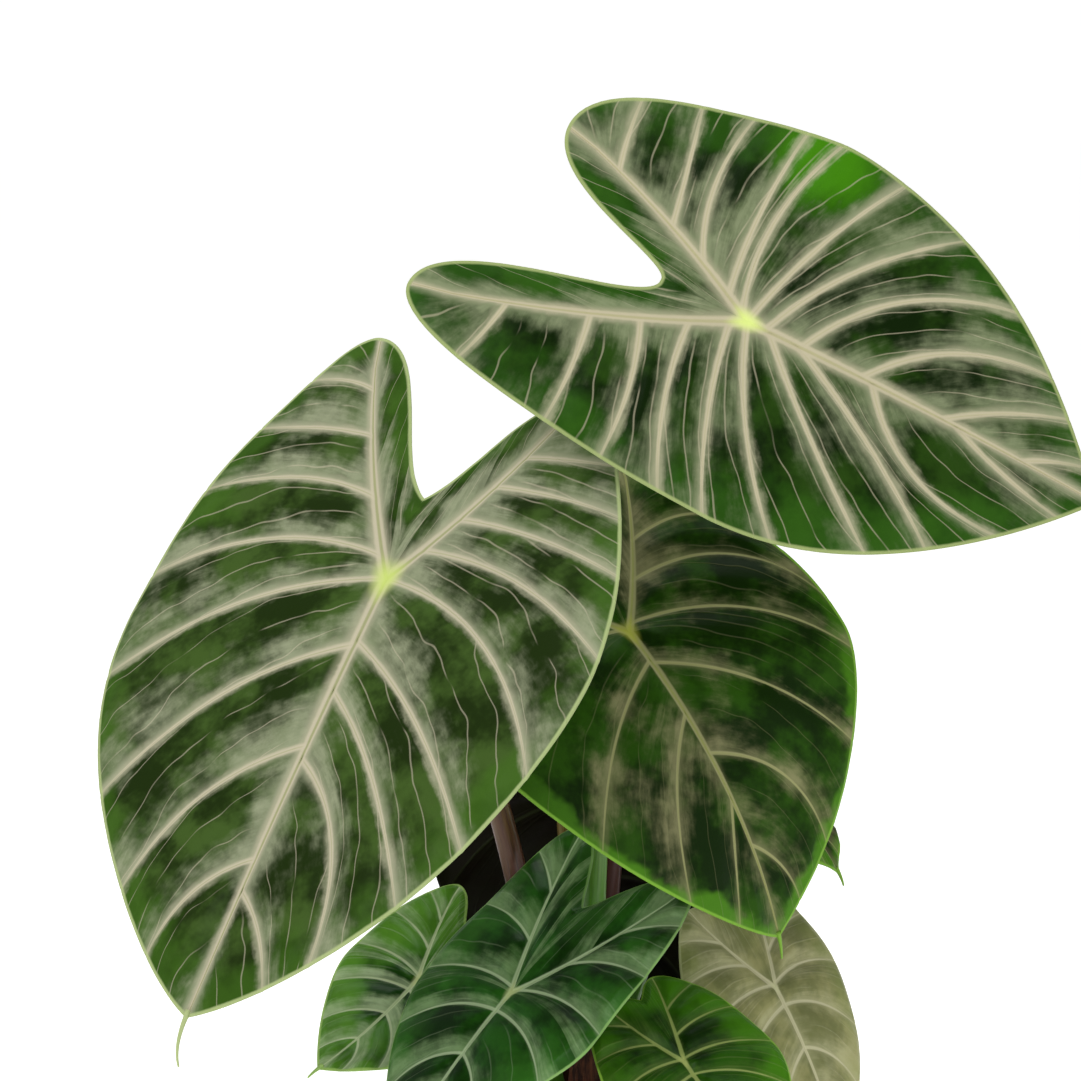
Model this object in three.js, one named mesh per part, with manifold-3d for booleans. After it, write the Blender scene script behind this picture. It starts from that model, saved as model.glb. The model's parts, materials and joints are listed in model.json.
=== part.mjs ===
// Potted alocasia: a clump of nine live leaves growing from one corm in a plain pot.
// Millimetres, +Z up. The pot stands on Z = 0, its axis is the Z axis, and the plant faces -Y.

import * as THREE from "three";
import { mergeVertices } from "three/addons/utils/BufferGeometryUtils.js";
import Module from "manifold-3d";

const wasm = await Module();
wasm.setup();

// ---------------------------------------------------------------- sizes

const FIT_GAP = 0.3; // between any two neighbouring pieces

// Pot: plain, tapered, with a thicker band round the rim and a flat foot.
const POT_HEIGHT = 150;
const POT_RIM_RADIUS = 81;
const POT_FOOT_RADIUS = 58;
const POT_WALL = 5;
const POT_FLOOR = 8;
const POT_EDGE = 1.5; // rounding of the lip and the foot
const POT_SEGMENTS = 56;
const BAND_HEIGHT = 20;
const BAND_STEP = 3;

// Soil: fills the pot to a little below the rim, flat in the middle, sunk at the wall.
const SOIL_BELOW_RIM = 18;
const SOIL_TOP = POT_HEIGHT - SOIL_BELOW_RIM;
const SOIL_EDGE_SINK = 4;
const SOIL_FLAT_RADIUS = 34;
const SOIL_FLOOR_CHAMFER = 3;

// Corm: the knobbly brown dome at soil level that carries every stem.
const CORM_RADIUS = 27;
const CORM_HEIGHT = 15;
const CORM_SEGMENTS = 24;
const CORM_RINGS = 5;

// Petioles: the leaf stems.
const PETIOLE_SIDES = 10;
const PETIOLE_STEPS = 15;
const PETIOLE_ROOT_LIFT = 3; // height above the soil where each stem's section starts
const PETIOLE_TAPER = 1.3;
const NECK_SWELL = 0.7; // thickening where a stem meets its blade
const NECK_SHARE = 0.06;
const NECK_GAP = 0.6; // between a stem's end and the blade's underside

// Blades.
const BLADE_THICKNESS = 1.2;
const FOLD_SOFTNESS = 12; // half-width of the rounded trough along the midrib
const OUTLINE_STEPS = 7; // points along each of the three curves of a half outline
const BLADE_RINGS = 5;
const DRIP_SIDES = 6;
const DRIP_STEPS = 7;
const DRIP_ROOT_RADIUS = 1.1;
const DRIP_END_RADIUS = 0.45;
const DRIP_OVERLAP = 3; // how far the drip tip's root runs into the blade

// Dry sheaths: papery brown remains of old leaf bases, standing round the stems.
const SHEATH_THICKNESS = 0.9;
const SHEATH_RADIUS = CORM_RADIUS + 1.2;
const SHEATH_COLUMNS = 6;
const SHEATH_ROWS = 7;
const SHEATH_TIP_HALF_ANGLE = 3;

// A half outline runs sinus, lobe end, widest point, tip; lengths are shares of the
// blade length from junction to tip, angles are in degrees, and the hold values say how
// far each curve keeps its direction.
const SPECIES = {
  sinus: 0.2,
  sinusOpen: 50,
  sinusHold: 0.37,
  tipAngle: 65,
  tipHold: 0.15,
  lobeInHold: 0.5,
  lobeOutHold: 0.44,
  widestBackHold: 0.4,
  widestTipHold: 0.4,
  left: { lobeX: 0.25, lobeY: 0.55, widestX: 0.56, widestY: 0.15 },
  right: { lobeX: 0.27, lobeY: 0.56, widestX: 0.57, widestY: 0.15 },
};

// Each leaf: the junction is where the stem meets the blade, its height taken from the
// soil's top. Heading turns the tip
// about Z from +Y, pitch drops the tip, roll tilts the blade about its midrib. Fold is
// the slope of each half, cup its curvature per 100 mm, droop the bend of the midrib
// per metre. Root and lean place the stem's foot and its first direction; reach is how
// long it heads straight at the blade's back.
const LEAVES = [
  {
    name: "left_large",
    junction: [-85, -62, 268],
    heading: 141,
    pitch: 51,
    roll: -3,
    length: 195,
    droop: 0.4,
    fold: 0.11,
    cup: -0.04,
    drip: 20,
    hook: 55,
    stem: "stem_mahogany",
    skin: "blade_silver",
    root: [-8, 4],
    lean: [-26, 36, 120],
    reach: 80,
    base: 5.8,
    neck: 3.6,
    shape: {
      sinusOpen: 60,
      sinusHold: 0.33,
      tipAngle: 73,
      tipHold: 0.28,
      lobeInHold: 0.49,
      widestBackHold: 0.38,
      left: { lobeX: 0.28, lobeY: 0.48, widestX: 0.62, widestY: 0.16 },
      right: { lobeX: 0.31, lobeY: 0.57, widestX: 0.61, widestY: 0.2 },
    },
  },
  {
    name: "upper_right_large",
    junction: [61, -84, 376],
    heading: -98,
    pitch: 25,
    roll: 68.5,
    length: 159,
    droop: 1.4,
    fold: 0.11,
    cup: -0.03,
    drip: 11,
    hook: 35,
    stem: "stem_mahogany",
    skin: "blade_silver",
    root: [5, 7],
    lean: [4, 75, 240],
    reach: 165,
    base: 6.2,
    neck: 3.6,
    shape: {
      sinus: 0.24,
      sinusOpen: 100,
      sinusHold: 0.15,
      tipAngle: 48,
      tipHold: 0.05,
      lobeInHold: 0.62,
      lobeOutHold: 0.8,
      widestBackHold: 0.02,
      widestTipHold: 0.52,
      left: { lobeX: 0.25, lobeY: 0.62, widestX: 0.51, widestY: 0.03 },
      right: { lobeX: 0.29, lobeY: 0.8, widestX: 0.505, widestY: 0.13 },
    },
  },
  {
    name: "right_middle",
    junction: [17, -32, 239],
    heading: -129,
    pitch: 41.5,
    roll: 26.5,
    length: 152,
    droop: 6.1,
    fold: 0.07,
    cup: 0.03,
    drip: 12,
    hook: 15,
    stem: "stem_green",
    skin: "blade_olive",
    root: [2, -8],
    lean: [0, 24, 100],
    reach: 70,
    base: 5.6,
    neck: 3.4,
    shape: {
      tipAngle: 58,
      widestTipHold: 0.31,
      left: { lobeX: 0.32, lobeY: 0.48, widestX: 0.56, widestY: 0.29 },
      right: { lobeX: 0.28, lobeY: 0.52, widestX: 0.61, widestY: 0.09 },
    },
  },
  {
    name: "front_centre",
    junction: [-34, -46, 83],
    heading: 116,
    pitch: 43.5,
    roll: -15.5,
    length: 97,
    droop: 3.1,
    fold: 0.05,
    cup: -0.06,
    drip: 8,
    hook: 30,
    stem: "stem_green",
    skin: "blade_sheen",
    root: [-11, -9],
    lean: [-2, 0, 32],
    reach: 26,
    base: 4,
    neck: 2.6,
    shape: {
      sinus: 0.5,
      tipAngle: 72,
      tipHold: 0.05,
      lobeOutHold: 0.8,
      widestBackHold: 0.35,
      widestTipHold: 0.26,
      left: { lobeX: 0.4, lobeY: 0.85, widestX: 0.56, widestY: -0.05 },
      right: { lobeX: 0.31, lobeY: 0.8, widestX: 0.5, widestY: 0.2 },
    },
  },
  {
    name: "lower_left_small",
    junction: [-76.5, 9, 69.5],
    heading: 128,
    pitch: 36,
    roll: -24,
    length: 65,
    droop: -6.6,
    fold: 0.1,
    cup: -0.04,
    drip: 6,
    hook: 25,
    stem: "stem_green",
    skin: "blade_sheen",
    root: [-18, 0],
    lean: [-8, 3, 34],
    reach: 24,
    base: 3.5,
    neck: 2.3,
    shape: {
      sinus: 0.52,
      tipAngle: 50,
      left: { lobeX: 0.2, lobeY: 0.7, widestX: 0.57, widestY: 0.26 },
      right: { lobeX: 0.25, lobeY: 0.74, widestX: 0.55, widestY: 0.1 },
    },
  },
  {
    name: "lower_right_bright",
    junction: [40, -67, 60],
    heading: -143.5,
    pitch: 32,
    roll: 12,
    length: 70.5,
    droop: 0.5,
    fold: 0.1,
    cup: -0.04,
    drip: 7,
    hook: 40,
    stem: "stem_green",
    skin: "blade_bright",
    root: [12, -12],
    lean: [3, -6, 26],
    reach: 20,
    base: 3.5,
    neck: 2.4,
    shape: {
      sinus: 0.5,
      tipAngle: 67,
      tipHold: 0.19,
      left: { lobeX: 0.16, lobeY: 0.62, widestX: 0.57, widestY: 0.17 },
      right: { lobeX: 0.24, lobeY: 0.59, widestX: 0.58, widestY: 0.15 },
    },
  },
  {
    name: "lower_right_pale",
    junction: [85, 2, 68],
    heading: -120.5,
    pitch: 57,
    roll: 13,
    length: 88,
    droop: 4.1,
    fold: -0.03,
    cup: -0.07,
    drip: 8,
    hook: 15,
    stem: "stem_green",
    skin: "blade_pale",
    root: [16, 1],
    lean: [8, 8, 40],
    reach: 26,
    base: 4,
    neck: 2.6,
    shape: {
      sinus: 0.5,
      widestBackHold: 0.49,
      left: { lobeX: 0.21, lobeY: 0.59, widestX: 0.52, widestY: 0.1 },
      right: { lobeX: 0.28, lobeY: 0.56, widestX: 0.61, widestY: 0.11 },
    },
  },
  {
    name: "back_small",
    junction: [82, 40, 164],
    heading: -112,
    pitch: 50,
    roll: 6,
    length: 62,
    droop: 2.5,
    fold: 0.08,
    cup: -0.04,
    drip: 6,
    hook: 20,
    stem: "stem_green",
    skin: "blade_olive",
    root: [9, 18],
    lean: [8, 14, 60],
    reach: 32,
    base: 3.4,
    neck: 2.2,
    shape: {},
  },
  {
    name: "back_shaded",
    junction: [-10, 64, 136],
    heading: -90,
    pitch: 65,
    roll: -90,
    length: 115,
    droop: 1,
    fold: 0.08,
    cup: -0.04,
    drip: 5,
    hook: 20,
    stem: "stem_mahogany",
    skin: "blade_shaded",
    root: [-3, 20],
    lean: [-3, 22, 70],
    reach: 24,
    base: 3.6,
    neck: 2.6,
    shape: {
      left: { lobeX: 0.3, lobeY: 0.5, widestX: 0.62, widestY: 0.2 },
      right: { lobeX: 0.3, lobeY: 0.5, widestX: 0.62, widestY: 0.2 },
    },
  },
];

// Sheaths by the angle of their middle from +X and their half-width, in degrees.
const SHEATHS = [
  { name: "dry_sheath_front", angle: 268, halfAngle: 24, height: 62, lean: 5 },
  { name: "dry_sheath_right", angle: 334, halfAngle: 13, height: 52, lean: 7 },
  { name: "dry_sheath_back_left", angle: 131, halfAngle: 24, height: 78, lean: 7 },
];

const COLOURS = {
  pot: ["#d9d4c8", 0.45, 0],
  soil: ["#2b1d14", 0.95, 0],
  corm: ["#4a3120", 0.85, 0],
  sheath: ["#5a3526", 0.8, 0],
  stem_mahogany: ["#5b2a1c", 0.45, 0],
  stem_green: ["#5c8a2e", 0.4, 0],
  blade_silver: ["#66714a", 0.42, 0],
  blade_olive: ["#414e23", 0.4, 0],
  blade_sheen: ["#446030", 0.35, 0],
  blade_bright: ["#365215", 0.38, 0],
  blade_pale: ["#7b8151", 0.5, 0],
  blade_shaded: ["#16240c", 0.45, 0],
};

// ---------------------------------------------------------------- solids

const part = new THREE.Group();
part.name = "potted_alocasia";

function add(name, slot, geometry) {
  const [color, roughness, metalness] = COLOURS[slot];
  const material = new THREE.MeshStandardMaterial({ color, roughness, metalness });
  const mesh = new THREE.Mesh(geometry, material);
  mesh.name = name;
  part.add(mesh);
  return mesh;
}

function solid(geometry) {
  const bare = new THREE.BufferGeometry();
  const source = geometry.index ? geometry.toNonIndexed() : geometry;
  bare.setAttribute("position", source.getAttribute("position"));
  const merged = mergeVertices(bare, 1e-4);
  return new wasm.Manifold(
    new wasm.Mesh({
      numProp: 3,
      vertProperties: new Float32Array(merged.attributes.position.array),
      triVerts: new Uint32Array(merged.index.array),
    }),
  );
}

function geometryOf(manifold) {
  const mesh = manifold.getMesh();
  const geometry = new THREE.BufferGeometry();
  const positions = new Float32Array(mesh.numVert * 3);
  for (let i = 0; i < mesh.numVert; i++)
    for (let k = 0; k < 3; k++)
      positions[3 * i + k] = mesh.vertProperties[i * mesh.numProp + k];
  geometry.setAttribute("position", new THREE.BufferAttribute(positions, 3));
  geometry.setIndex(new THREE.BufferAttribute(new Uint32Array(mesh.triVerts), 1));
  return geometry;
}

function meshOf(points, triangles) {
  const geometry = new THREE.BufferGeometry();
  geometry.setAttribute(
    "position",
    new THREE.Float32BufferAttribute(points.flatMap((p) => [p.x, p.y, p.z]), 3),
  );
  geometry.setIndex(triangles.flat());
  return geometry;
}

// A closed skin through equal rings of points, capped at both ends.
function loft(rings) {
  const n = rings[0].length;
  const points = rings.flat();
  const triangles = [];
  for (let i = 0; i + 1 < rings.length; i++)
    for (let j = 0; j < n; j++) {
      const a = i * n + j;
      const b = i * n + ((j + 1) % n);
      triangles.push([a, b, b + n], [a, b + n, a + n]);
    }
  for (const [ring, flip] of [[0, true], [rings.length - 1, false]]) {
    const middle = new THREE.Vector3();
    rings[ring].forEach((p) => middle.addScaledVector(p, 1 / n));
    points.push(middle);
    for (let j = 0; j < n; j++) {
      const a = ring * n + j;
      const b = ring * n + ((j + 1) % n);
      triangles.push(flip ? [b, a, points.length - 1] : [a, b, points.length - 1]);
    }
  }
  return meshOf(points, triangles);
}

function lathe(profile, segments) {
  const points = profile.map(([r, z]) => new THREE.Vector2(r, z));
  return new THREE.LatheGeometry(points, segments).rotateX(Math.PI / 2);
}

// A round rod along a curve; radiusAt takes the share of the length from the start.
function rod(curve, steps, sides, radiusAt) {
  const frames = curve.computeFrenetFrames(steps, false);
  const rings = [];
  for (let i = 0; i <= steps; i++) {
    const centre = curve.getPointAt(i / steps);
    const radius = radiusAt(i / steps);
    const ring = [];
    for (let j = 0; j < sides; j++) {
      const turn = (2 * Math.PI * j) / sides;
      ring.push(
        centre
          .clone()
          .addScaledVector(frames.normals[i], radius * Math.cos(turn))
          .addScaledVector(frames.binormals[i], radius * Math.sin(turn)),
      );
    }
    rings.push(ring);
  }
  return loft(rings);
}

// ---------------------------------------------------------------- pot, soil, corm

function potRadius(z) {
  return POT_FOOT_RADIUS + ((POT_RIM_RADIUS - POT_FOOT_RADIUS) * z) / POT_HEIGHT;
}

function buildPot() {
  const bandZ = POT_HEIGHT - BAND_HEIGHT;
  const inner = (z) => potRadius(z) - POT_WALL;
  const rim = potRadius(POT_HEIGHT) + BAND_STEP;
  add(
    "pot",
    "pot",
    lathe(
      [
        [0, 0],
        [POT_FOOT_RADIUS - POT_EDGE, 0],
        [potRadius(POT_EDGE), POT_EDGE],
        [potRadius(bandZ), bandZ],
        [potRadius(bandZ) + BAND_STEP, bandZ + POT_EDGE],
        [rim, POT_HEIGHT - POT_EDGE],
        [rim - POT_EDGE, POT_HEIGHT],
        [inner(POT_HEIGHT) + POT_EDGE, POT_HEIGHT],
        [inner(POT_HEIGHT), POT_HEIGHT - POT_EDGE],
        [inner(POT_FLOOR + SOIL_FLOOR_CHAMFER), POT_FLOOR + SOIL_FLOOR_CHAMFER],
        [inner(POT_FLOOR) - SOIL_FLOOR_CHAMFER, POT_FLOOR],
        [0, POT_FLOOR],
      ],
      POT_SEGMENTS,
    ),
  );
}

function buildSoil() {
  const wall = (z) => potRadius(z) - POT_WALL - FIT_GAP;
  const floor = POT_FLOOR + FIT_GAP;
  const edge = SOIL_TOP - SOIL_EDGE_SINK;
  const shoulder = (SOIL_FLAT_RADIUS + wall(edge)) / 2;
  add(
    "potting_soil",
    "soil",
    lathe(
      [
        [0, floor],
        [wall(floor) - SOIL_FLOOR_CHAMFER, floor],
        [wall(floor + SOIL_FLOOR_CHAMFER), floor + SOIL_FLOOR_CHAMFER],
        [wall(edge), edge],
        [shoulder, SOIL_TOP - SOIL_EDGE_SINK / 4],
        [SOIL_FLAT_RADIUS, SOIL_TOP],
        [0, SOIL_TOP],
      ],
      POT_SEGMENTS,
    ),
  );
}

// The corm's dome grown by a margin, which is also what the stems are cut to.
function cormDome(margin, drop) {
  const profile = [[0, SOIL_TOP + FIT_GAP - drop], [CORM_RADIUS + margin, SOIL_TOP + FIT_GAP - drop]];
  for (let i = 1; i <= CORM_RINGS; i++) {
    const turn = (Math.PI / 2) * (i / CORM_RINGS);
    profile.push([
      i === CORM_RINGS ? 0 : (CORM_RADIUS + margin) * Math.cos(turn),
      SOIL_TOP + FIT_GAP + (CORM_HEIGHT + margin) * Math.sin(turn),
    ]);
  }
  return lathe(profile, CORM_SEGMENTS);
}

// ---------------------------------------------------------------- leaves

function shapeOf(leaf) {
  return { ...SPECIES, ...leaf.shape };
}

function junctionOf(leaf) {
  const [x, y, height] = leaf.junction;
  return new THREE.Vector3(x, y, SOIL_TOP + height);
}

// Blade space: +Y to the tip, +Z the upper face, the stem joins at the origin.
function bladeMatrix(leaf) {
  const turn = new THREE.Euler(
    THREE.MathUtils.degToRad(-leaf.pitch),
    THREE.MathUtils.degToRad(leaf.roll),
    THREE.MathUtils.degToRad(leaf.heading),
    "ZXY",
  );
  const matrix = new THREE.Matrix4().makeRotationFromEuler(turn);
  return matrix.setPosition(junctionOf(leaf));
}

// One half of the outline, from the sinus round the lobe to the tip.
function halfOutline(leaf, side) {
  const shape = shapeOf(leaf);
  const length = leaf.length;
  const half = side < 0 ? shape.left : shape.right;
  const lobe = [half.lobeX * length, -half.lobeY * length];
  const widest = [half.widestX * length, half.widestY * length];
  const sinus = shape.sinus * length;
  const open = THREE.MathUtils.degToRad(shape.sinusOpen);
  const taper = THREE.MathUtils.degToRad(shape.tipAngle);
  const inner = shape.sinusHold * (half.lobeY * length - sinus);
  const outer = shape.tipHold * (length - widest[1]);
  const v = (x, y) => new THREE.Vector2(side * x, y);
  const curves = [
    new THREE.CubicBezierCurve(
      v(0, -sinus),
      v(inner * Math.sin(open), -sinus - inner * Math.cos(open)),
      v(lobe[0] * (1 - shape.lobeInHold), lobe[1]),
      v(...lobe),
    ),
    new THREE.CubicBezierCurve(
      v(...lobe),
      v(lobe[0] + shape.lobeOutHold * (widest[0] - lobe[0]), lobe[1]),
      v(widest[0], widest[1] - shape.widestBackHold * (widest[1] - lobe[1])),
      v(...widest),
    ),
    new THREE.CubicBezierCurve(
      v(...widest),
      v(widest[0], widest[1] + shape.widestTipHold * (length - widest[1])),
      v(outer * Math.sin(taper), length - outer * Math.cos(taper)),
      v(0, length),
    ),
  ];
  const points = curves.flatMap((curve, i) => curve.getPoints(OUTLINE_STEPS).slice(i ? 1 : 0));
  return points;
}

// Folds, cups and droops a flat blade point; lift is measured along the upper face.
function bendPoint(leaf, x, y, lift) {
  const trough = Math.hypot(x, FOLD_SOFTNESS) - FOLD_SOFTNESS;
  const height = leaf.fold * trough + (leaf.cup * x * x) / 100 + lift;
  const rate = y > 0 ? leaf.droop / 1000 : 0;
  const angle = rate * y;
  const along = rate ? Math.sin(angle) / rate : y;
  const down = rate ? -(1 - Math.cos(angle)) / rate : 0;
  return new THREE.Vector3(x, along + height * Math.sin(angle), down + height * Math.cos(angle));
}

// The blade as a thin closed sheet, in rings round the junction.
function bladeSheet(leaf) {
  const right = halfOutline(leaf, 1);
  const left = halfOutline(leaf, -1);
  const outline = [...right, ...left.reverse().slice(1, -1)];
  const n = outline.length;
  const lift = BLADE_THICKNESS / 2;
  const points = [];
  const triangles = [];
  for (const face of [1, -1]) {
    points.push(bendPoint(leaf, 0, 0, face * lift));
    for (let i = 1; i <= BLADE_RINGS; i++)
      for (const p of outline) {
        const share = i / BLADE_RINGS;
        points.push(bendPoint(leaf, p.x * share, p.y * share, face * lift));
      }
  }
  const half = points.length / 2;
  for (let j = 0; j < n; j++) {
    const k = (j + 1) % n;
    triangles.push([0, 1 + j, 1 + k], [half, half + 1 + k, half + 1 + j]);
    for (let i = 0; i + 1 < BLADE_RINGS; i++) {
      const a = 1 + i * n + j;
      const b = 1 + i * n + k;
      triangles.push([a, a + n, b + n], [a, b + n, b]);
      triangles.push([half + a, half + b + n, half + a + n], [half + a, half + b, half + b + n]);
    }
    const a = 1 + (BLADE_RINGS - 1) * n + j;
    const b = 1 + (BLADE_RINGS - 1) * n + k;
    triangles.push([a, half + a, half + b], [a, half + b, b]);
  }
  return meshOf(points, triangles);
}

// The thread-like drip tip, hooked away from the upper face.
function dripTip(leaf) {
  const rate = leaf.droop / 1000;
  const start = bendPoint(leaf, 0, leaf.length - DRIP_OVERLAP, 0);
  const points = [start];
  const steps = DRIP_STEPS;
  const stride = (leaf.drip + DRIP_OVERLAP) / steps;
  for (let i = 1; i <= steps; i++) {
    const angle = rate * leaf.length + THREE.MathUtils.degToRad(leaf.hook) * ((i - 1) / steps) ** 1.5;
    const last = points[i - 1];
    points.push(
      new THREE.Vector3(0, last.y + stride * Math.cos(angle), last.z - stride * Math.sin(angle)),
    );
  }
  const curve = new THREE.CatmullRomCurve3(points);
  const radiusAt = (u) => THREE.MathUtils.lerp(DRIP_ROOT_RADIUS, DRIP_END_RADIUS, u);
  return rod(curve, steps, DRIP_SIDES, radiusAt);
}

function buildBlade(leaf) {
  const whole = solid(bladeSheet(leaf)).add(solid(dripTip(leaf)));
  const geometry = geometryOf(whole).applyMatrix4(bladeMatrix(leaf));
  add(`${leaf.name}_blade`, leaf.skin, geometry);
}

function petioleCurve(leaf) {
  const facing = new THREE.Vector3().setFromMatrixColumn(bladeMatrix(leaf), 2);
  const top = junctionOf(leaf).addScaledVector(facing, -(BLADE_THICKNESS / 2 + NECK_GAP));
  const root = new THREE.Vector3(...leaf.root, SOIL_TOP + PETIOLE_ROOT_LIFT);
  const first = root.clone().add(new THREE.Vector3(...leaf.lean));
  const last = top.clone().addScaledVector(facing, -leaf.reach);
  return new THREE.CubicBezierCurve3(root, first, last, top);
}

function buildPetiole(leaf, cormSpace) {
  const radiusAt = (u) =>
    leaf.neck +
    (leaf.base - leaf.neck) * (1 - u) ** PETIOLE_TAPER +
    (u > 1 - NECK_SHARE ? NECK_SWELL : 0);
  const stem = rod(petioleCurve(leaf), PETIOLE_STEPS, PETIOLE_SIDES, radiusAt);
  add(`${leaf.name}_petiole`, leaf.stem, geometryOf(solid(stem).subtract(cormSpace)));
}

// ---------------------------------------------------------------- sheaths

function buildSheath({ name, angle, halfAngle, height, lean }) {
  const middle = THREE.MathUtils.degToRad(angle);
  const rings = [];
  for (let i = 0; i <= SHEATH_ROWS; i++) {
    const up = i / SHEATH_ROWS;
    const spread = THREE.MathUtils.degToRad(
      THREE.MathUtils.lerp(halfAngle, SHEATH_TIP_HALF_ANGLE, up ** 1.6),
    );
    const radius = SHEATH_RADIUS + lean * up * up;
    const z = SOIL_TOP + FIT_GAP + height * up;
    const at = (r, share) => {
      const turn = middle + spread * share;
      return new THREE.Vector3(r * Math.cos(turn), r * Math.sin(turn), z);
    };
    const ring = [];
    for (let j = 0; j <= SHEATH_COLUMNS; j++)
      ring.push(at(radius + SHEATH_THICKNESS, (2 * j) / SHEATH_COLUMNS - 1));
    for (let j = SHEATH_COLUMNS; j >= 0; j--)
      ring.push(at(radius, (2 * j) / SHEATH_COLUMNS - 1));
    rings.push(ring);
  }
  add(name, "sheath", loft(rings));
}

// ---------------------------------------------------------------- the part

buildPot();
buildSoil();
add("corm", "corm", cormDome(0, 0));
const cormSpace = solid(cormDome(FIT_GAP, 2));
for (const leaf of LEAVES) {
  buildBlade(leaf);
  buildPetiole(leaf, cormSpace);
}
SHEATHS.forEach(buildSheath);

export default part;
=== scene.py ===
"""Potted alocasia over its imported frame: veined leaves on waxy stems, a corm, soil and a plain pot."""

from __future__ import annotations

import json
import logging
import math
from dataclasses import dataclass
from enum import Enum

import bpy
import numpy as np
from mathutils import Euler, Matrix, Vector

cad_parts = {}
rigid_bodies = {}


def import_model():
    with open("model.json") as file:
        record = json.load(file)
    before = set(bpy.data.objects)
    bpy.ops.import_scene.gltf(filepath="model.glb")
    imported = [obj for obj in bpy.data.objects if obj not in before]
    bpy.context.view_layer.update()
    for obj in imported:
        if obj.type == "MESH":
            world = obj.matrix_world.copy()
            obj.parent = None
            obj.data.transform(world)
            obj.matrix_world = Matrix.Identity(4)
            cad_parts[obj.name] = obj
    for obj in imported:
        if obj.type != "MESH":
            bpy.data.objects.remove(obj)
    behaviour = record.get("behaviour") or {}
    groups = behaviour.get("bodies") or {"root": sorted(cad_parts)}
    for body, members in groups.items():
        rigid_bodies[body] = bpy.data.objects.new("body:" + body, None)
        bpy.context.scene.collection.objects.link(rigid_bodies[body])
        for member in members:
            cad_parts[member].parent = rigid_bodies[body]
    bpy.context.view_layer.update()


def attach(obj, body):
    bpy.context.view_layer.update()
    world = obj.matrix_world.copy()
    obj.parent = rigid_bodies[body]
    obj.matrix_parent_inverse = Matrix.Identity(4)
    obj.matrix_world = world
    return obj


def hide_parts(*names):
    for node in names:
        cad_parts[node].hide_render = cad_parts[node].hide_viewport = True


LOG = logging.getLogger("alocasia")
MM = 0.001
BODY = "root"

FAR = 99.0
"""A distance that stands for no vein near, in millimetres or in vein widths."""
WELD = 2e-6
"""Points closer than this many metres are one point."""
RIB_STEPS = 22
MARGIN_STEPS = 150

Triple = tuple[float, float, float]
Grid = np.ndarray
Faces = list[tuple[int, ...]]


# ---------------------------------------------------------------- colours and node wiring


def linear(code: str) -> tuple[float, float, float, float]:
    """Turn a hex colour into linear light.

    Args:
        code: the colour as #rrggbb.

    Returns:
        Red, green, blue and an alpha of one.
    """
    parts = [int(code[i : i + 2], 16) / 255 for i in (1, 3, 5)]
    light = [p / 12.92 if p <= 0.04045 else ((p + 0.055) / 1.055) ** 2.4 for p in parts]
    return (light[0], light[1], light[2], 1.0)


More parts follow.
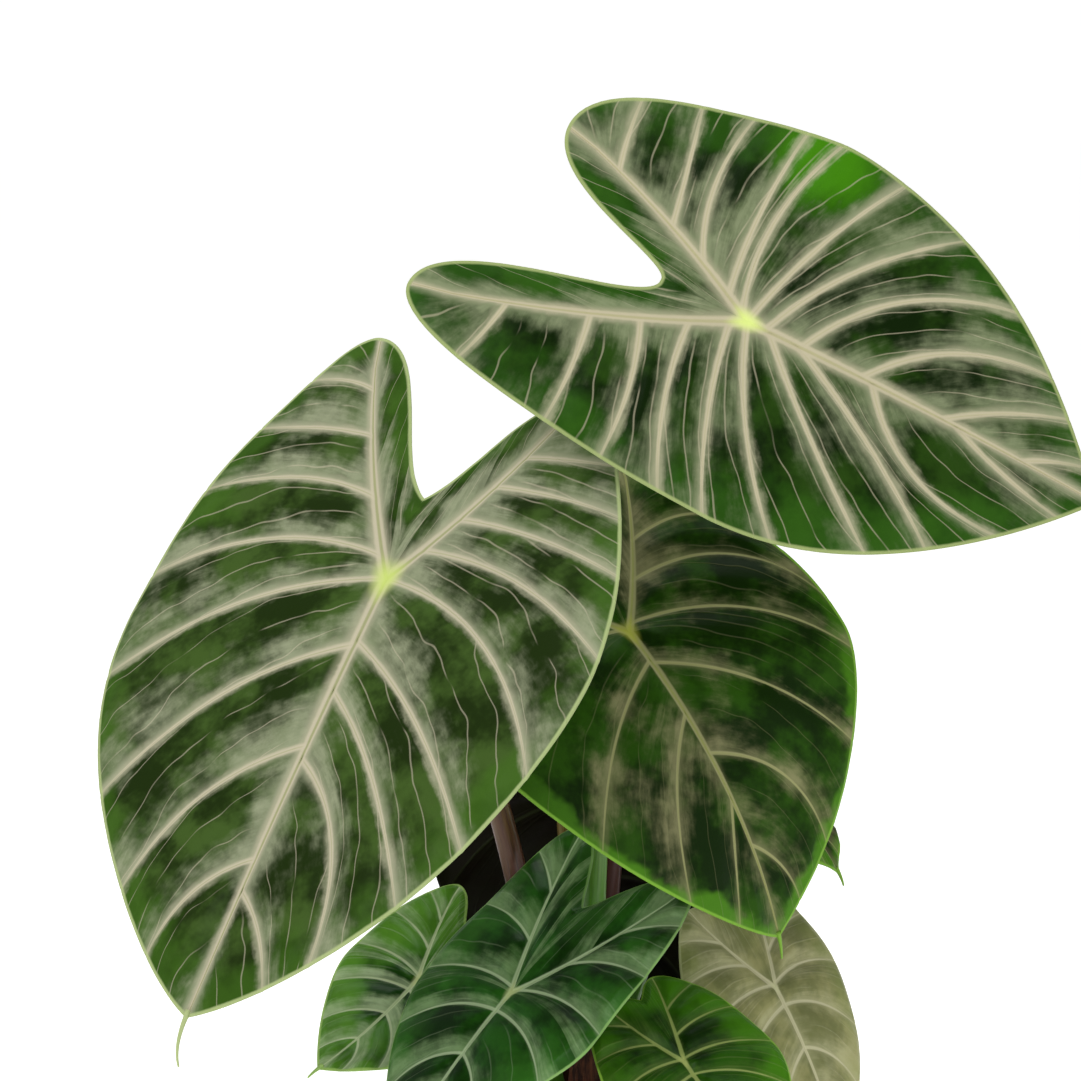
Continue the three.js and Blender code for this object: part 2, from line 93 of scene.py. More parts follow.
class Wiring:
    """Short ways to lay nodes in one tree."""

    def __init__(self, tree: bpy.types.NodeTree) -> None:
        """Keep the tree that nodes go in."""
        self.tree = tree

    def node(self, kind: str, **settings: object) -> bpy.types.Node:
        """Add a node.

        Args:
            kind: the node's type name.
            settings: properties to set on it.

        Returns:
            The new node.
        """
        made = self.tree.nodes.new(kind)
        for name, value in settings.items():
            setattr(made, name, value)
        return made

    def feed(self, socket: bpy.types.NodeSocket, value: object) -> None:
        """Link a socket to an input, or set the input's own value.

        Args:
            socket: the input.
            value: a socket to link, or a plain value.
        """
        if isinstance(value, bpy.types.NodeSocket):
            self.tree.links.new(value, socket)
        else:
            socket.default_value = value

    def fitted(self, kind: str, feeds: dict[str | int, object], **settings: object) -> bpy.types.Node:
        """Add a node and fill its inputs.

        Args:
            kind: the node's type name.
            feeds: a socket or plain value for each input, by the input's name or number.
            settings: properties to set on it.

        Returns:
            The new node.
        """
        made = self.node(kind, **settings)
        for key, value in feeds.items():
            self.feed(made.inputs[key], value)
        return made

    def math(self, way: str, a: object, b: object = 0.0) -> bpy.types.NodeSocket:
        """Combine two numbers.

        Args:
            way: the Math node's operation.
            a: the first number or socket.
            b: the second number or socket.

        Returns:
            The result's socket.
        """
        return self.fitted("ShaderNodeMath", {0: a, 1: b}, operation=way).outputs[0]

    def plus(self, a: object, b: object) -> bpy.types.NodeSocket:
        """Add two numbers."""
        return self.math("ADD", a, b)

    def minus(self, a: object, b: object) -> bpy.types.NodeSocket:
        """Take the second number from the first."""
        return self.math("SUBTRACT", a, b)

    def times(self, a: object, b: object) -> bpy.types.NodeSocket:
        """Multiply two numbers."""
        return self.math("MULTIPLY", a, b)

    def step(self, value: object, low: float, high: float) -> bpy.types.NodeSocket:
        """Rise smoothly from 0 at low to 1 at high.

        Args:
            value: the number or socket that is read.
            low: where the rise starts.
            high: where it ends.

        Returns:
            The result's socket.
        """
        feeds = {"Value": value, "From Min": low, "From Max": high}
        return self.fitted("ShaderNodeMapRange", feeds, interpolation_type="SMOOTHSTEP").outputs[0]

    def fall(self, value: object, low: float, high: float) -> bpy.types.NodeSocket:
        """Fall smoothly from 1 at low to 0 at high."""
        return self.minus(1.0, self.step(value, low, high))

    def noise(
        self, vector: object, scale: float, detail: float = 3.0, rough: float = 0.55
    ) -> bpy.types.NodeSocket:
        """Smooth noise around 0.5.

        Args:
            vector: where it is read.
            scale: how fine it is.
            detail: how many octaves it has.
            rough: how strong the finer octaves are.

        Returns:
            The noise value's socket.
        """
        feeds = {"Vector": vector, "Scale": scale, "Detail": detail, "Roughness": rough}
        return self.fitted("ShaderNodeTexNoise", feeds).outputs["Fac"]

    def blend(self, share: object, a: object, b: object) -> bpy.types.NodeSocket:
        """Mix two colours.

        Args:
            share: the share of the second colour.
            a: the first colour or socket.
            b: the second colour or socket.

        Returns:
            The mixed colour's socket.
        """
        return self.fitted("ShaderNodeMix", {0: share, 6: a, 7: b}, data_type="RGBA").outputs[2]

    def vector(self, x: object, y: object, z: object) -> bpy.types.NodeSocket:
        """Pack three numbers in a vector.

        Args:
            x: the first number or socket.
            y: the second number or socket.
            z: the third number or socket.

        Returns:
            The vector's socket.
        """
        return self.fitted("ShaderNodeCombineXYZ", {0: x, 1: y, 2: z}).outputs[0]

    def attribute(self, name: str) -> bpy.types.NodeSocket:
        """Read a number stored on the mesh."""
        return self.node("ShaderNodeAttribute", attribute_name=name).outputs["Fac"]

    def place(self) -> bpy.types.NodeSocket:
        """Read the place on the object."""
        return self.node("ShaderNodeTexCoord").outputs["Object"]

    def relief(self, height: object, strength: float, depth: float) -> bpy.types.NodeSocket:
        """Turn a height into a bumped normal.

        Args:
            height: the height, from 0 to about 1.
            strength: how much of the bump shows.
            depth: the depth in metres that a height of one stands for.

        Returns:
            The normal's socket.
        """
        feeds = {"Strength": strength, "Distance": depth, "Height": height}
        return self.fitted("ShaderNodeBump", feeds).outputs[0]

    def finish(
        self, colour: object, rough: object, normal: object, coat: float, coat_rough: float,
        gloss: float = 0.4,
    ) -> bpy.types.Node:
        """Close a material with its surface shader.

        Args:
            colour: the base colour.
            rough: the roughness.
            normal: the bumped normal.
            coat: the weight of the waxy or glazed coat.
            coat_rough: the roughness of that coat.
            gloss: how strongly the surface itself reflects.

        Returns:
            The surface shader's node.
        """
        shader = self.fitted("ShaderNodeBsdfPrincipled", {
            "Base Color": colour, "Roughness": rough, "Normal": normal, "Coat Weight": coat,
            "Coat Roughness": coat_rough, "Specular IOR Level": gloss,
        })
        self.fitted("ShaderNodeOutputMaterial", {0: shader.outputs[0]})
        return shader


def blank_material(name: str) -> tuple[bpy.types.Material, Wiring]:
    """Start an empty material.

    Args:
        name: the material's name.

    Returns:
        The material and the wiring of its tree.
    """
    made = bpy.data.materials.new(name)
    made.use_nodes = True
    made.node_tree.nodes.clear()
    return made, Wiring(made.node_tree)


# ---------------------------------------------------------------- finishes


# How much each cause gathers the veil and, on the blue-green leaves, the painted sheen, and the sums between
# which it comes in.
VEIL_AND_SHEEN_BY_VEIN = 0.34
VEIL_AND_SHEEN_BY_PATCH = 2.3
VEIL_AND_SHEEN_BY_STREAK = 1.1
VEIL_AND_SHEEN_BY_FRESH = 0.7
VEIL_AND_SHEEN_OFFSET = 0.42
VEIL_AND_SHEEN_FROM, VEIL_AND_SHEEN_TO = 0.52, 1.32


@dataclass(frozen=True)
class BladeFinish:
    """The skin of a leaf blade: greens between the veins, a silvery veil beside them that is painted sheen on
    the blue-green leaves, painted shade on one side of each vein, pale veins.

    Every reach and width is in millimetres, every share runs from 0 to 1.
    """

    name: str
    slot: str
    deep: str
    green: str
    bright: str
    veil_and_sheen: str
    vein: str
    margin: str
    junction: str
    core: str
    underside: str
    veil_and_sheen_share: float = 0.85
    veil_and_sheen_reach: float = 15.0
    veil_and_sheen_bias: float = 0.0
    # Painted shade: how much darker one side of each vein panel is made, as if the quilted blade were lit
    # from one side.
    quilt_shade: float = 0.22
    rib_frost: float = 0.0
    ragged: float = 70.0
    fresh: str = "#3c7c08"
    halo_share: float = 0.7
    halo_reach: float = 4.0
    feather: float = 12.0
    bright_share: float = 0.6
    bright_reach: float = 20.0
    tipward: float = 0.0
    minor_share: float = 0.4
    minor_lines: float = 2.6
    minor_width: float = 0.55
    vein_share: float = 0.92
    margin_width: float = 1.9
    spot_reach: float = 11.0
    fresh_at: Triple = (0.0, 0.0, 0.0)
    fresh_reach: float = 0.0
    roughness: float = 0.42
    coat: float = 0.0
    gloss: float = 0.14

    def tissue(self, w: Wiring, place: object, hair: object, patch: object) -> bpy.types.NodeSocket:
        """Colour the leaf between its veins.

        Args:
            w: the wiring of the material.
            place: the place on the object.
            hair: fine streaks that run out from the veins.
            patch: broad patches.

        Returns:
            The colour's socket.
        """
        gap, lane, edge = w.attribute("gap"), w.attribute("lane"), w.attribute("edge")
        away = w.minus(hair, 0.5)
        blotch = w.plus(w.noise(place, 34.0, 4.0, 0.6), w.times(away, 0.22))
        colour = w.blend(w.step(blotch, 0.4, 0.64), linear(self.deep), linear(self.green))
        ragged = w.plus(edge, w.times(w.minus(patch, 0.5), self.ragged))
        rim = w.times(w.fall(ragged, 2.0, self.bright_reach), self.bright_share)
        if self.tipward:
            rim = w.times(rim, w.step(w.attribute("fore"), -0.1, self.tipward))
        colour = w.blend(rim, colour, linear(self.bright))
        if self.fresh_reach:
            far = w.node("ShaderNodeVectorMath", operation="DISTANCE")
            w.feed(far.inputs[0], place)
            far.inputs[1].default_value = tuple(v * MM for v in self.fresh_at)
            worn = w.plus(far.outputs["Value"], w.times(away, 0.02))
            fresh = w.fall(worn, self.fresh_reach * 0.3 * MM, self.fresh_reach * MM)
            colour = w.blend(w.times(fresh, 0.9), colour, linear(self.fresh))
        # Painted shade: one side of each vein panel loses veil and reads darker, standing in for the shade
        # across the quilted blade.
        side = w.step(w.math("PINGPONG", w.plus(w.math("FRACT", lane), 0.12), 1.0), 0.35, 0.95)
        near = w.fall(gap, 0.0, self.veil_and_sheen_reach)
        push = w.plus(w.times(near, VEIL_AND_SHEEN_BY_VEIN), w.times(patch, VEIL_AND_SHEEN_BY_PATCH))
        push = w.plus(push, w.times(away, VEIL_AND_SHEEN_BY_STREAK))
        push = w.minus(push, w.times(side, self.quilt_shade))
        frost = w.times(w.fall(w.attribute("rib"), 1.0, 9.0), self.rib_frost)
        push = w.plus(push, frost)
        if self.fresh_reach:
            push = w.minus(push, w.times(fresh, VEIL_AND_SHEEN_BY_FRESH))
        # The veil mask: the silvery veil on the silver leaves, and painted sheen, the lit centres of the
        # quilted panels, on the blue-green leaves.
        veil_and_sheen = w.step(w.plus(push, self.veil_and_sheen_bias - VEIL_AND_SHEEN_OFFSET), VEIL_AND_SHEEN_FROM, VEIL_AND_SHEEN_TO)
        brushed = w.plus(w.times(w.step(hair, 0.36, 0.64), 0.45), 0.6)
        veil_and_sheen = w.times(veil_and_sheen, brushed)
        return w.blend(w.times(veil_and_sheen, self.veil_and_sheen_share), colour, linear(self.veil_and_sheen))

    def material(self) -> bpy.types.Material:
        """Build the blade's material from the vein distances stored on its mesh.

        Returns:
            The material.
        """
        made, w = blank_material(self.name)
        gap, flow, cell = w.attribute("gap"), w.attribute("flow"), w.attribute("cell")
        lane, span, edge, heart = (w.attribute(name) for name in ("lane", "span", "edge", "heart"))
        place = w.place()
        streaks = w.vector(
            w.times(lane, 7.0), w.times(flow, 0.045), w.times(cell, 1.7),
        )
        mottle = w.times(w.noise(place, 75.0, 4.0, 0.7), 0.5)
        hair = w.plus(w.times(w.noise(streaks, 1.0, 4.0, 0.62), 0.5), mottle)
        patch = w.noise(place, 22.0, 4.0, 0.62)
        away = w.minus(hair, 0.5)
        colour = self.tissue(w, place, hair, patch)
        near = w.plus(gap, w.times(away, self.feather))
        halo = w.times(w.fall(near, 0.0, self.halo_reach), self.halo_share)
        colour = w.blend(halo, colour, w.blend(0.45, linear(self.veil_and_sheen), linear(self.vein)))
        bend = w.times(w.minus(w.noise(place, 26.0, 2.0), 0.5), 1.1)
        drift = w.plus(w.times(lane, self.minor_lines), w.times(flow, 0.012))
        ridge = w.math("ABSOLUTE", w.minus(w.math("FRACT", w.plus(drift, bend)), 0.5))
        ridge = w.times(ridge, w.math("DIVIDE", span, self.minor_lines))
        minor = w.times(w.fall(ridge, 0.1, self.minor_width), w.step(flow, 4.0, 16.0))
        minor = w.times(minor, w.step(w.noise(place, 50.0, 1.0), 0.3, 0.5))
        colour = w.blend(w.times(minor, self.minor_share), colour, linear(self.vein))
        fray = w.times(away, 1.1)
        lateral = w.attribute("vein")
        inward = w.plus(w.times(w.step(edge, 0.5, 18.0), 0.5), 0.5)
        band = w.times(w.fall(w.plus(lateral, fray), 0.45, 1.35), inward)
        colour = w.blend(w.times(band, self.vein_share), colour, linear(self.vein))
        colour = w.blend(w.times(w.fall(lateral, 0.05, 0.3), 0.35), colour, linear(self.core))
        rib_reach = w.attribute("rib")
        frost = w.times(w.fall(w.plus(rib_reach, fray), 0.9, 2.6), self.rib_frost)
        colour = w.blend(frost, colour, linear(self.vein))
        rib = w.fall(w.plus(rib_reach, w.times(fray, 0.4)), 0.65, 1.15)
        colour = w.blend(w.times(rib, self.vein_share), colour, linear(self.vein))
        colour = w.blend(w.times(w.fall(rib_reach, 0.12, 0.42), 0.6), colour, linear(self.core))
        frayed = w.plus(edge, w.times(away, 0.8))
        line = w.fall(frayed, self.margin_width * 0.45, self.margin_width)
        colour = w.blend(w.times(line, 0.85), colour, linear(self.margin))
        spread = w.plus(heart, w.times(w.math("MINIMUM", rib_reach, 4.0), 2.6))
        spot = w.fall(spread, 1.0, self.spot_reach)
        colour = w.blend(w.times(spot, 0.85), colour, linear(self.junction))
        colour = w.blend(w.times(w.attribute("under"), 0.78), colour, linear(self.underside))
        rough = w.plus(self.roughness - 0.08, w.times(w.noise(place, 120.0, 3.0), 0.16))
        grain = w.times(w.noise(place, 900.0, 2.0), 0.35)
        height = w.plus(grain, w.plus(w.times(minor, 0.7), hair))
        w.finish(colour, rough, w.relief(height, 0.35, 0.0006), self.coat, 0.22, self.gloss)
        return made


@dataclass(frozen=True)
class StemFinish:
    """The waxy skin of a leaf stem, streaked along its length."""

    name: str
    slot: str
    low: str
    high: str
    streak: str
    streak_share: float = 0.6

    def material(self) -> bpy.types.Material:
        """Build the stem's material: base colour low down, lighter at the neck, long streaks.

        Returns:
            The material.
        """
        made, w = blank_material(self.name)
        run, turn = w.attribute("run"), w.attribute("turn")
        place = w.place()
        along = w.vector(w.times(run, 6.0), w.times(turn, 9.0), 0.0)
        fine = w.vector(w.times(run, 14.0), w.times(turn, 40.0), 1.0)
        shift = w.times(w.minus(w.noise(along, 1.0), 0.5), 0.5)
        colour = w.blend(w.step(w.plus(run, shift), 0.25, 0.95), linear(self.low), linear(self.high))
        marks = w.times(w.step(w.noise(fine, 1.0, 4.0), 0.5, 0.68), self.streak_share)
        colour = w.blend(marks, colour, linear(self.streak))
        height = w.plus(w.noise(fine, 1.0, 3.0), w.times(w.noise(place, 700.0), 0.3))
        rough = w.plus(0.32, w.times(w.noise(place, 200.0), 0.16))
        w.finish(colour, rough, w.relief(height, 0.3, 0.0006), 0.15, 0.25)
        return made


@dataclass(frozen=True)
class EarthFinish:
    """A rough, mottled finish in three tones: soil, bark, perlite, corm and dry sheaths."""

    name: str
    slot: str
    dark: str
    mid: str
    light: str
    scale: float = 220.0
    stretch: Triple = (1.0, 1.0, 1.0)
    roughness: float = 0.9
    relief: float = 0.6
    depth: float = 0.0012

    def material(self) -> bpy.types.Material:
        """Build the mottled material, stretched along the piece's own grain.

        Returns:
            The material.
        """
        made, w = blank_material(self.name)
        mapping = w.node("ShaderNodeMapping")
        w.feed(mapping.inputs["Vector"], w.place())
        mapping.inputs["Scale"].default_value = self.stretch
        place = mapping.outputs[0]
        coarse = w.noise(place, self.scale * 0.35, 3.0)
        fine = w.noise(place, self.scale, 5.0, 0.65)
        colour = w.blend(w.step(coarse, 0.38, 0.6), linear(self.dark), linear(self.mid))
        colour = w.blend(w.times(w.step(fine, 0.55, 0.75), 0.7), colour, linear(self.light))
        rough = w.plus(self.roughness - 0.08, w.times(fine, 0.14))
        height = w.plus(fine, w.times(coarse, 0.6))
        w.finish(colour, rough, w.relief(height, self.relief, self.depth), 0.0, 0.3)
        return made


@dataclass(frozen=True)
class StonewareFinish:
    """Plain off-white stoneware with a satin glaze and faint specks."""

    name: str = "satin_stoneware"
    slot: str = "pot"
    body: str = "#d8d3c7"
    warm: str = "#c6bca9"
    speck: str = "#8a7a66"

    def material(self) -> bpy.types.Material:
        """Build the stoneware: warm drifts, fine specks, faint throwing rings.

        Returns:
            The material.
        """
        made, w = blank_material(self.name)
        place = w.place()
        drift = w.noise(place, 14.0, 4.0)
        warmth = w.times(w.step(drift, 0.4, 0.7), 0.5)
        colour = w.blend(warmth, linear(self.body), linear(self.warm))
        specks = w.step(w.noise(place, 620.0, 2.0, 0.4), 0.68, 0.74)
        colour = w.blend(w.times(specks, 0.6), colour, linear(self.speck))
        rings = w.node("ShaderNodeTexWave", wave_type="BANDS", bands_direction="Z")
        w.feed(rings.inputs["Vector"], place)
        rings.inputs["Scale"].default_value = 60.0
        rings.inputs["Distortion"].default_value = 1.5
        height = w.plus(rings.outputs["Fac"], w.noise(place, 260.0, 3.0))
        rough = w.plus(0.36, w.times(drift, 0.18))
        w.finish(colour, rough, w.relief(height, 0.12, 0.0006), 0.2, 0.2)
        return made


SILVER = BladeFinish(
    "silver_veiled_blade", "blade_silver", "#1a2a07", "#3c5421", "#3c6219", "#949a7c", "#bcb49b",
    "#a9b87e", "#c2d470", "#7f8a4c", "#7d8c5c", veil_and_sheen_bias=-0.02, gloss=0.05, quilt_shade=0.5, rib_frost=0.32,
    vein_share=0.85, spot_reach=16.0,
)
CREAM = BladeFinish(
    "cream_veined_blade", "blade_silver", "#0a1c01", "#233f0c", "#346616", "#858e6c", "#b8b094",
    "#9aa86c", "#d8ea84", "#a3a072", "#74855a", veil_and_sheen_share=0.8, veil_and_sheen_bias=-0.04, bright_share=0.4,
    halo_share=0.75, fresh_at=(94.0, -67.0, 570.0), fresh_reach=29.0, gloss=0.05, rib_frost=0.32, quilt_shade=0.35,
)
OLIVE = BladeFinish(
    "olive_blade", "blade_olive", "#0d2300", "#264a08", "#4e861a", "#8b8962", "#98986a",
    "#79a83a", "#a8ac44", "#8a9248", "#5f7a3c", veil_and_sheen_share=0.8, veil_and_sheen_bias=-0.2, veil_and_sheen_reach=12.0,
    halo_share=0.2, halo_reach=2.5, bright_share=0.7, bright_reach=7.5, ragged=40.0, tipward=0.6,
    vein_share=0.85, minor_share=0.12, margin_width=1.6, roughness=0.4, gloss=0.06,
)
# Painted sheen: on this blue-green leaf the pale veil patches are the lit centres of its quilted panels.
SHEEN = BladeFinish(
    "blue_green_blade", "blade_sheen", "#0a2c02", "#286018", "#44802a", "#8caa76", "#bdd2a8",
    "#86ae62", "#d2de9c", "#a8bc8c", "#5c7d4c", veil_and_sheen_share=0.75, veil_and_sheen_reach=9.0, veil_and_sheen_bias=0.1,
    quilt_shade=0.75, halo_share=0.15, halo_reach=1.6, feather=8.0, bright_share=0.4, minor_share=0.12,
    margin_width=1.0, spot_reach=9.0, roughness=0.34, gloss=0.14,
)
# Painted sheen: as on the leaf above, the pale veil patches are the lit centres of the quilted panels.
YOUNG = BladeFinish(
    "young_green_blade", "blade_sheen", "#123c04", "#4a8026", "#68a030", "#b4c89c", "#ccdab0",
    "#a0c468", "#dce4a4", "#b4c892", "#5c7d4c", veil_and_sheen_share=0.85, veil_and_sheen_reach=8.0, veil_and_sheen_bias=0.16,
    quilt_shade=0.75, halo_share=0.15, halo_reach=1.6, feather=8.0, bright_share=0.5, minor_share=0.1,
    margin_width=1.4, spot_reach=8.0, roughness=0.34, gloss=0.14,
)
BRIGHT = BladeFinish(
    "bright_green_blade", "blade_bright", "#0c2600", "#265204", "#4a8810", "#647f3a", "#93a45c", "#86b040",
    "#b4c070", "#93a055", "#5a8038", veil_and_sheen_share=0.4, veil_and_sheen_reach=7.0, veil_and_sheen_bias=-0.12, halo_share=0.2,
    halo_reach=1.8, feather=8.0, bright_share=0.6, minor_share=0.1, margin_width=1.0, spot_reach=6.0,
    roughness=0.36, gloss=0.1,
)
PALE = BladeFinish(
    "pale_grey_blade", "blade_pale", "#6b6f42", "#93925f", "#86954f", "#aead84", "#bfbc98", "#a8ac7c",
    "#c8c99c", "#b0af86", "#8f9166", veil_and_sheen_share=0.65, veil_and_sheen_reach=9.0, halo_share=0.25, halo_reach=2.2,
    feather=9.0, bright_share=0.3, minor_share=0.15, margin_width=1.0, spot_reach=6.0, roughness=0.5,
)
# Painted shade: this near-black skin, dark greens above and maroon beneath, stands in for the deep shade and
# dark stem bases among the stems behind the front leaves.
SHADED = BladeFinish(
    "painted_shade_dark_blade", "blade_shaded", "#060d02", "#12230a", "#1b3a0c", "#24331a",
    "#4a5a34", "#3a4f24", "#5f6f3c", "#4a5a34", "#140703", veil_and_sheen_share=0.4, veil_and_sheen_bias=-0.2, halo_share=0.15,
    bright_share=0.4, minor_share=0.1, margin_width=1.0, spot_reach=5.0, gloss=0.1,
)
MAHOGANY = StemFinish("mahogany_stem", "stem_mahogany", "#4a1a10", "#7c6a2e", "#2a0f0a")
GREEN_STEM = StemFinish("green_stem", "stem_green", "#4f8a1e", "#86a848", "#39661a", 0.4)
SOIL = EarthFinish("damp_soil", "soil", "#140c07", "#2a1b11", "#4a3522")
BARK = EarthFinish("bark_chips", "soil", "#22120a", "#4a2f1c", "#7a5a3c", scale=420.0)
PERLITE = EarthFinish("perlite_grains", "soil", "#b5b0a4", "#d8d4ca", "#efece4", scale=900.0, roughness=0.95)
CORM = EarthFinish("corm_skin", "corm", "#20120a", "#4a2f1c", "#80603c", scale=260.0, stretch=(0.6, 0.6, 3.2))
SHEATH = EarthFinish(
    "papery_sheath", "sheath", "#2c150d", "#5e3522", "#93684a", scale=520.0,
    stretch=(2.4, 2.4, 0.16), relief=0.7,
)


# ---------------------------------------------------------------- meshes


def mesh_object(name: str, points: Grid, faces: Faces, smooth: bool = True) -> bpy.types.Object:
    """Make a mesh object in the scene at the origin.

    Args:
        name: the object's name.
        points: vertex places in metres.
        faces: vertex numbers of each face.
        smooth: whether its faces shade smoothly.

    Returns:
        The object.
    """
    mesh = bpy.data.meshes.new(name)
    mesh.from_pydata([tuple(p) for p in points.tolist()], [], faces)
    mesh.polygons.foreach_set("use_smooth", [smooth] * len(mesh.polygons))
    mesh.update()
    made = bpy.data.objects.new(name, mesh)
    bpy.context.scene.collection.objects.link(made)
    return made


def store(obj: bpy.types.Object, name: str, values: Grid) -> None:
    """Store one number per vertex on the mesh."""
    layer = obj.data.attributes.new(name, "FLOAT", "POINT")
    layer.data.foreach_set("value", np.ascontiguousarray(values, dtype=np.float32))


def dress(obj: bpy.types.Object, material: bpy.types.Material, slot: str, *nodes: str) -> bpy.types.Object:
    """Give a piece its material and its place in the frame.

    Args:
        obj: the finished piece.
        material: its material.
        slot: the record's material slot it stands in.
        nodes: the CAD nodes it stands for.

    Returns:
        The same piece.
    """
    if not obj.data.materials:
        obj.data.materials.append(material)
    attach(obj, BODY)
    if nodes:
        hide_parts(*nodes)
    LOG.info("%s: %d faces, slot %s", obj.name, len(obj.data.polygons), slot)
    return obj


def ring_faces(rings: int, sides: int, start: int = 0) -> Faces:
    """Face a stack of equal rings and cap both ends.

    Args:
        rings: how many rings there are.
        sides: points in each ring.
        start: the first ring's first vertex number.

    Returns:
        The faces, pointing out when the rings turn anticlockwise about their direction.
    """
    faces: Faces = []
    for i in range(rings - 1):
        for j in range(sides):
            a, b = start + i * sides + j, start + i * sides + (j + 1) % sides
            faces.append((a, b, b + sides, a + sides))
    faces.append(tuple(start + j for j in reversed(range(sides))))
    faces.append(tuple(start + (rings - 1) * sides + j for j in range(sides)))
    return faces


def turned(profile: list[tuple[float, float]], sides: int) -> tuple[Grid, Faces]:
    """Turn a profile that starts and ends on the axis.

    Args:
        profile: radius and height pairs in millimetres, from the bottom axis point to the top one.
        sides: how many sides the turned shape has.

    Returns:
        Points in millimetres and faces.
    """
    inner = profile[1:-1]
    angles = np.arange(sides) * 2 * math.pi / sides
    rows = [np.column_stack([r * np.cos(angles), r * np.sin(angles), np.full(sides, z)]) for r, z in inner]
    points = np.vstack(rows + [np.array([[0, 0, profile[0][1]], [0, 0, profile[-1][1]]])])
    faces: Faces = []
    for i in range(len(inner) - 1):
        for j in range(sides):
            a, b = i * sides + j, i * sides + (j + 1) % sides
            faces.append((a, b, b + sides, a + sides))
    low, high, last = len(points) - 2, len(points) - 1, (len(inner) - 1) * sides
    for j in range(sides):
        k = (j + 1) % sides
        faces.append((low, k, j))
        faces.append((high, last + j, last + k))
    return points, faces


def arc(
    centre: tuple[float, float], radius: float, start: float, end: float, steps: int
) -> list[tuple[float, float]]:
    """Points of a circular arc in a profile, with angles in degrees."""
    turns = [math.radians(start + (end - start) * i / steps) for i in range(steps + 1)]
    return [(centre[0] + radius * math.cos(a), centre[1] + radius * math.sin(a)) for a in turns]


def ripple(points: Grid, seed: float, size: float) -> Grid:
    """A smooth repeatable wobble from -1 to 1.

    Args:
        points: places in millimetres.
        seed: which wobble it is.
        size: its rough wavelength in millimetres.

    Returns:
        One number for each point.
    """
    total = np.zeros(len(points))
    for octave in range(4):
        rate = 2 * math.pi / (size / 1.9**octave)
        a = np.array([
            math.cos(seed + octave * 2.1), math.sin(seed * 1.7 + octave), 0.6 * math.cos(seed * 0.7 + octave),
        ])
        b = np.array([
            math.sin(seed * 1.3 + octave * 1.1), -math.cos(seed + octave), 0.5 * math.sin(seed + octave),
        ])
        waves = np.sin(points @ a * rate + seed) + np.sin(points @ b * rate * 1.13 + seed * 3)
        total += waves / 2 / 1.6**octave
    return total / 2


# ---------------------------------------------------------------- leaf blades


class Rise(Enum):
    """Where a side vein leaves."""

    MIDRIB = 0
    COSTA = 1


@dataclass(frozen=True)
class Vein:
    """One side vein: where it leaves, where it meets the margin, and how it arches.

    The share runs from the junction to the end of the rib it leaves. The edge place is 0 at the sinus,
    1 at the lobe end, 2 at the widest point and 3 at the tip. Each bow is a share of the vein's chord.
    """

    rise: Rise
    share: float
    edge: float
    bow: float
    bow_out: float


def midrib(*veins: Triple) -> tuple[Vein, ...]:
    """Veins that leave the midrib, each as share, edge and bow, from the tip down."""
    return tuple(Vein(Rise.MIDRIB, s, e, b, b * 0.9) for s, e, b in veins)


def costa(*veins: Triple) -> tuple[Vein, ...]:
    """Veins that leave the lobe's own rib, each as share, edge and bow, from the junction out."""
    return tuple(Vein(Rise.COSTA, s, e, b, b * 0.9) for s, e, b in veins)


USUAL_MIDRIB = midrib((0.62, 2.76, -0.16), (0.34, 2.52, -0.18), (0.1, 2.26, -0.16))
USUAL_COSTA = costa((0.04, 1.95, -0.14), (0.36, 1.64, -0.12), (0.7, 1.36, -0.06))


@dataclass(frozen=True)
class Half:
    """One half of a blade's outline, as shares of the blade's length, and its veins."""

    lobe_x: float
    lobe_y: float
    widest_x: float
    widest_y: float
    veins: tuple[Vein, ...] = USUAL_MIDRIB + USUAL_COSTA


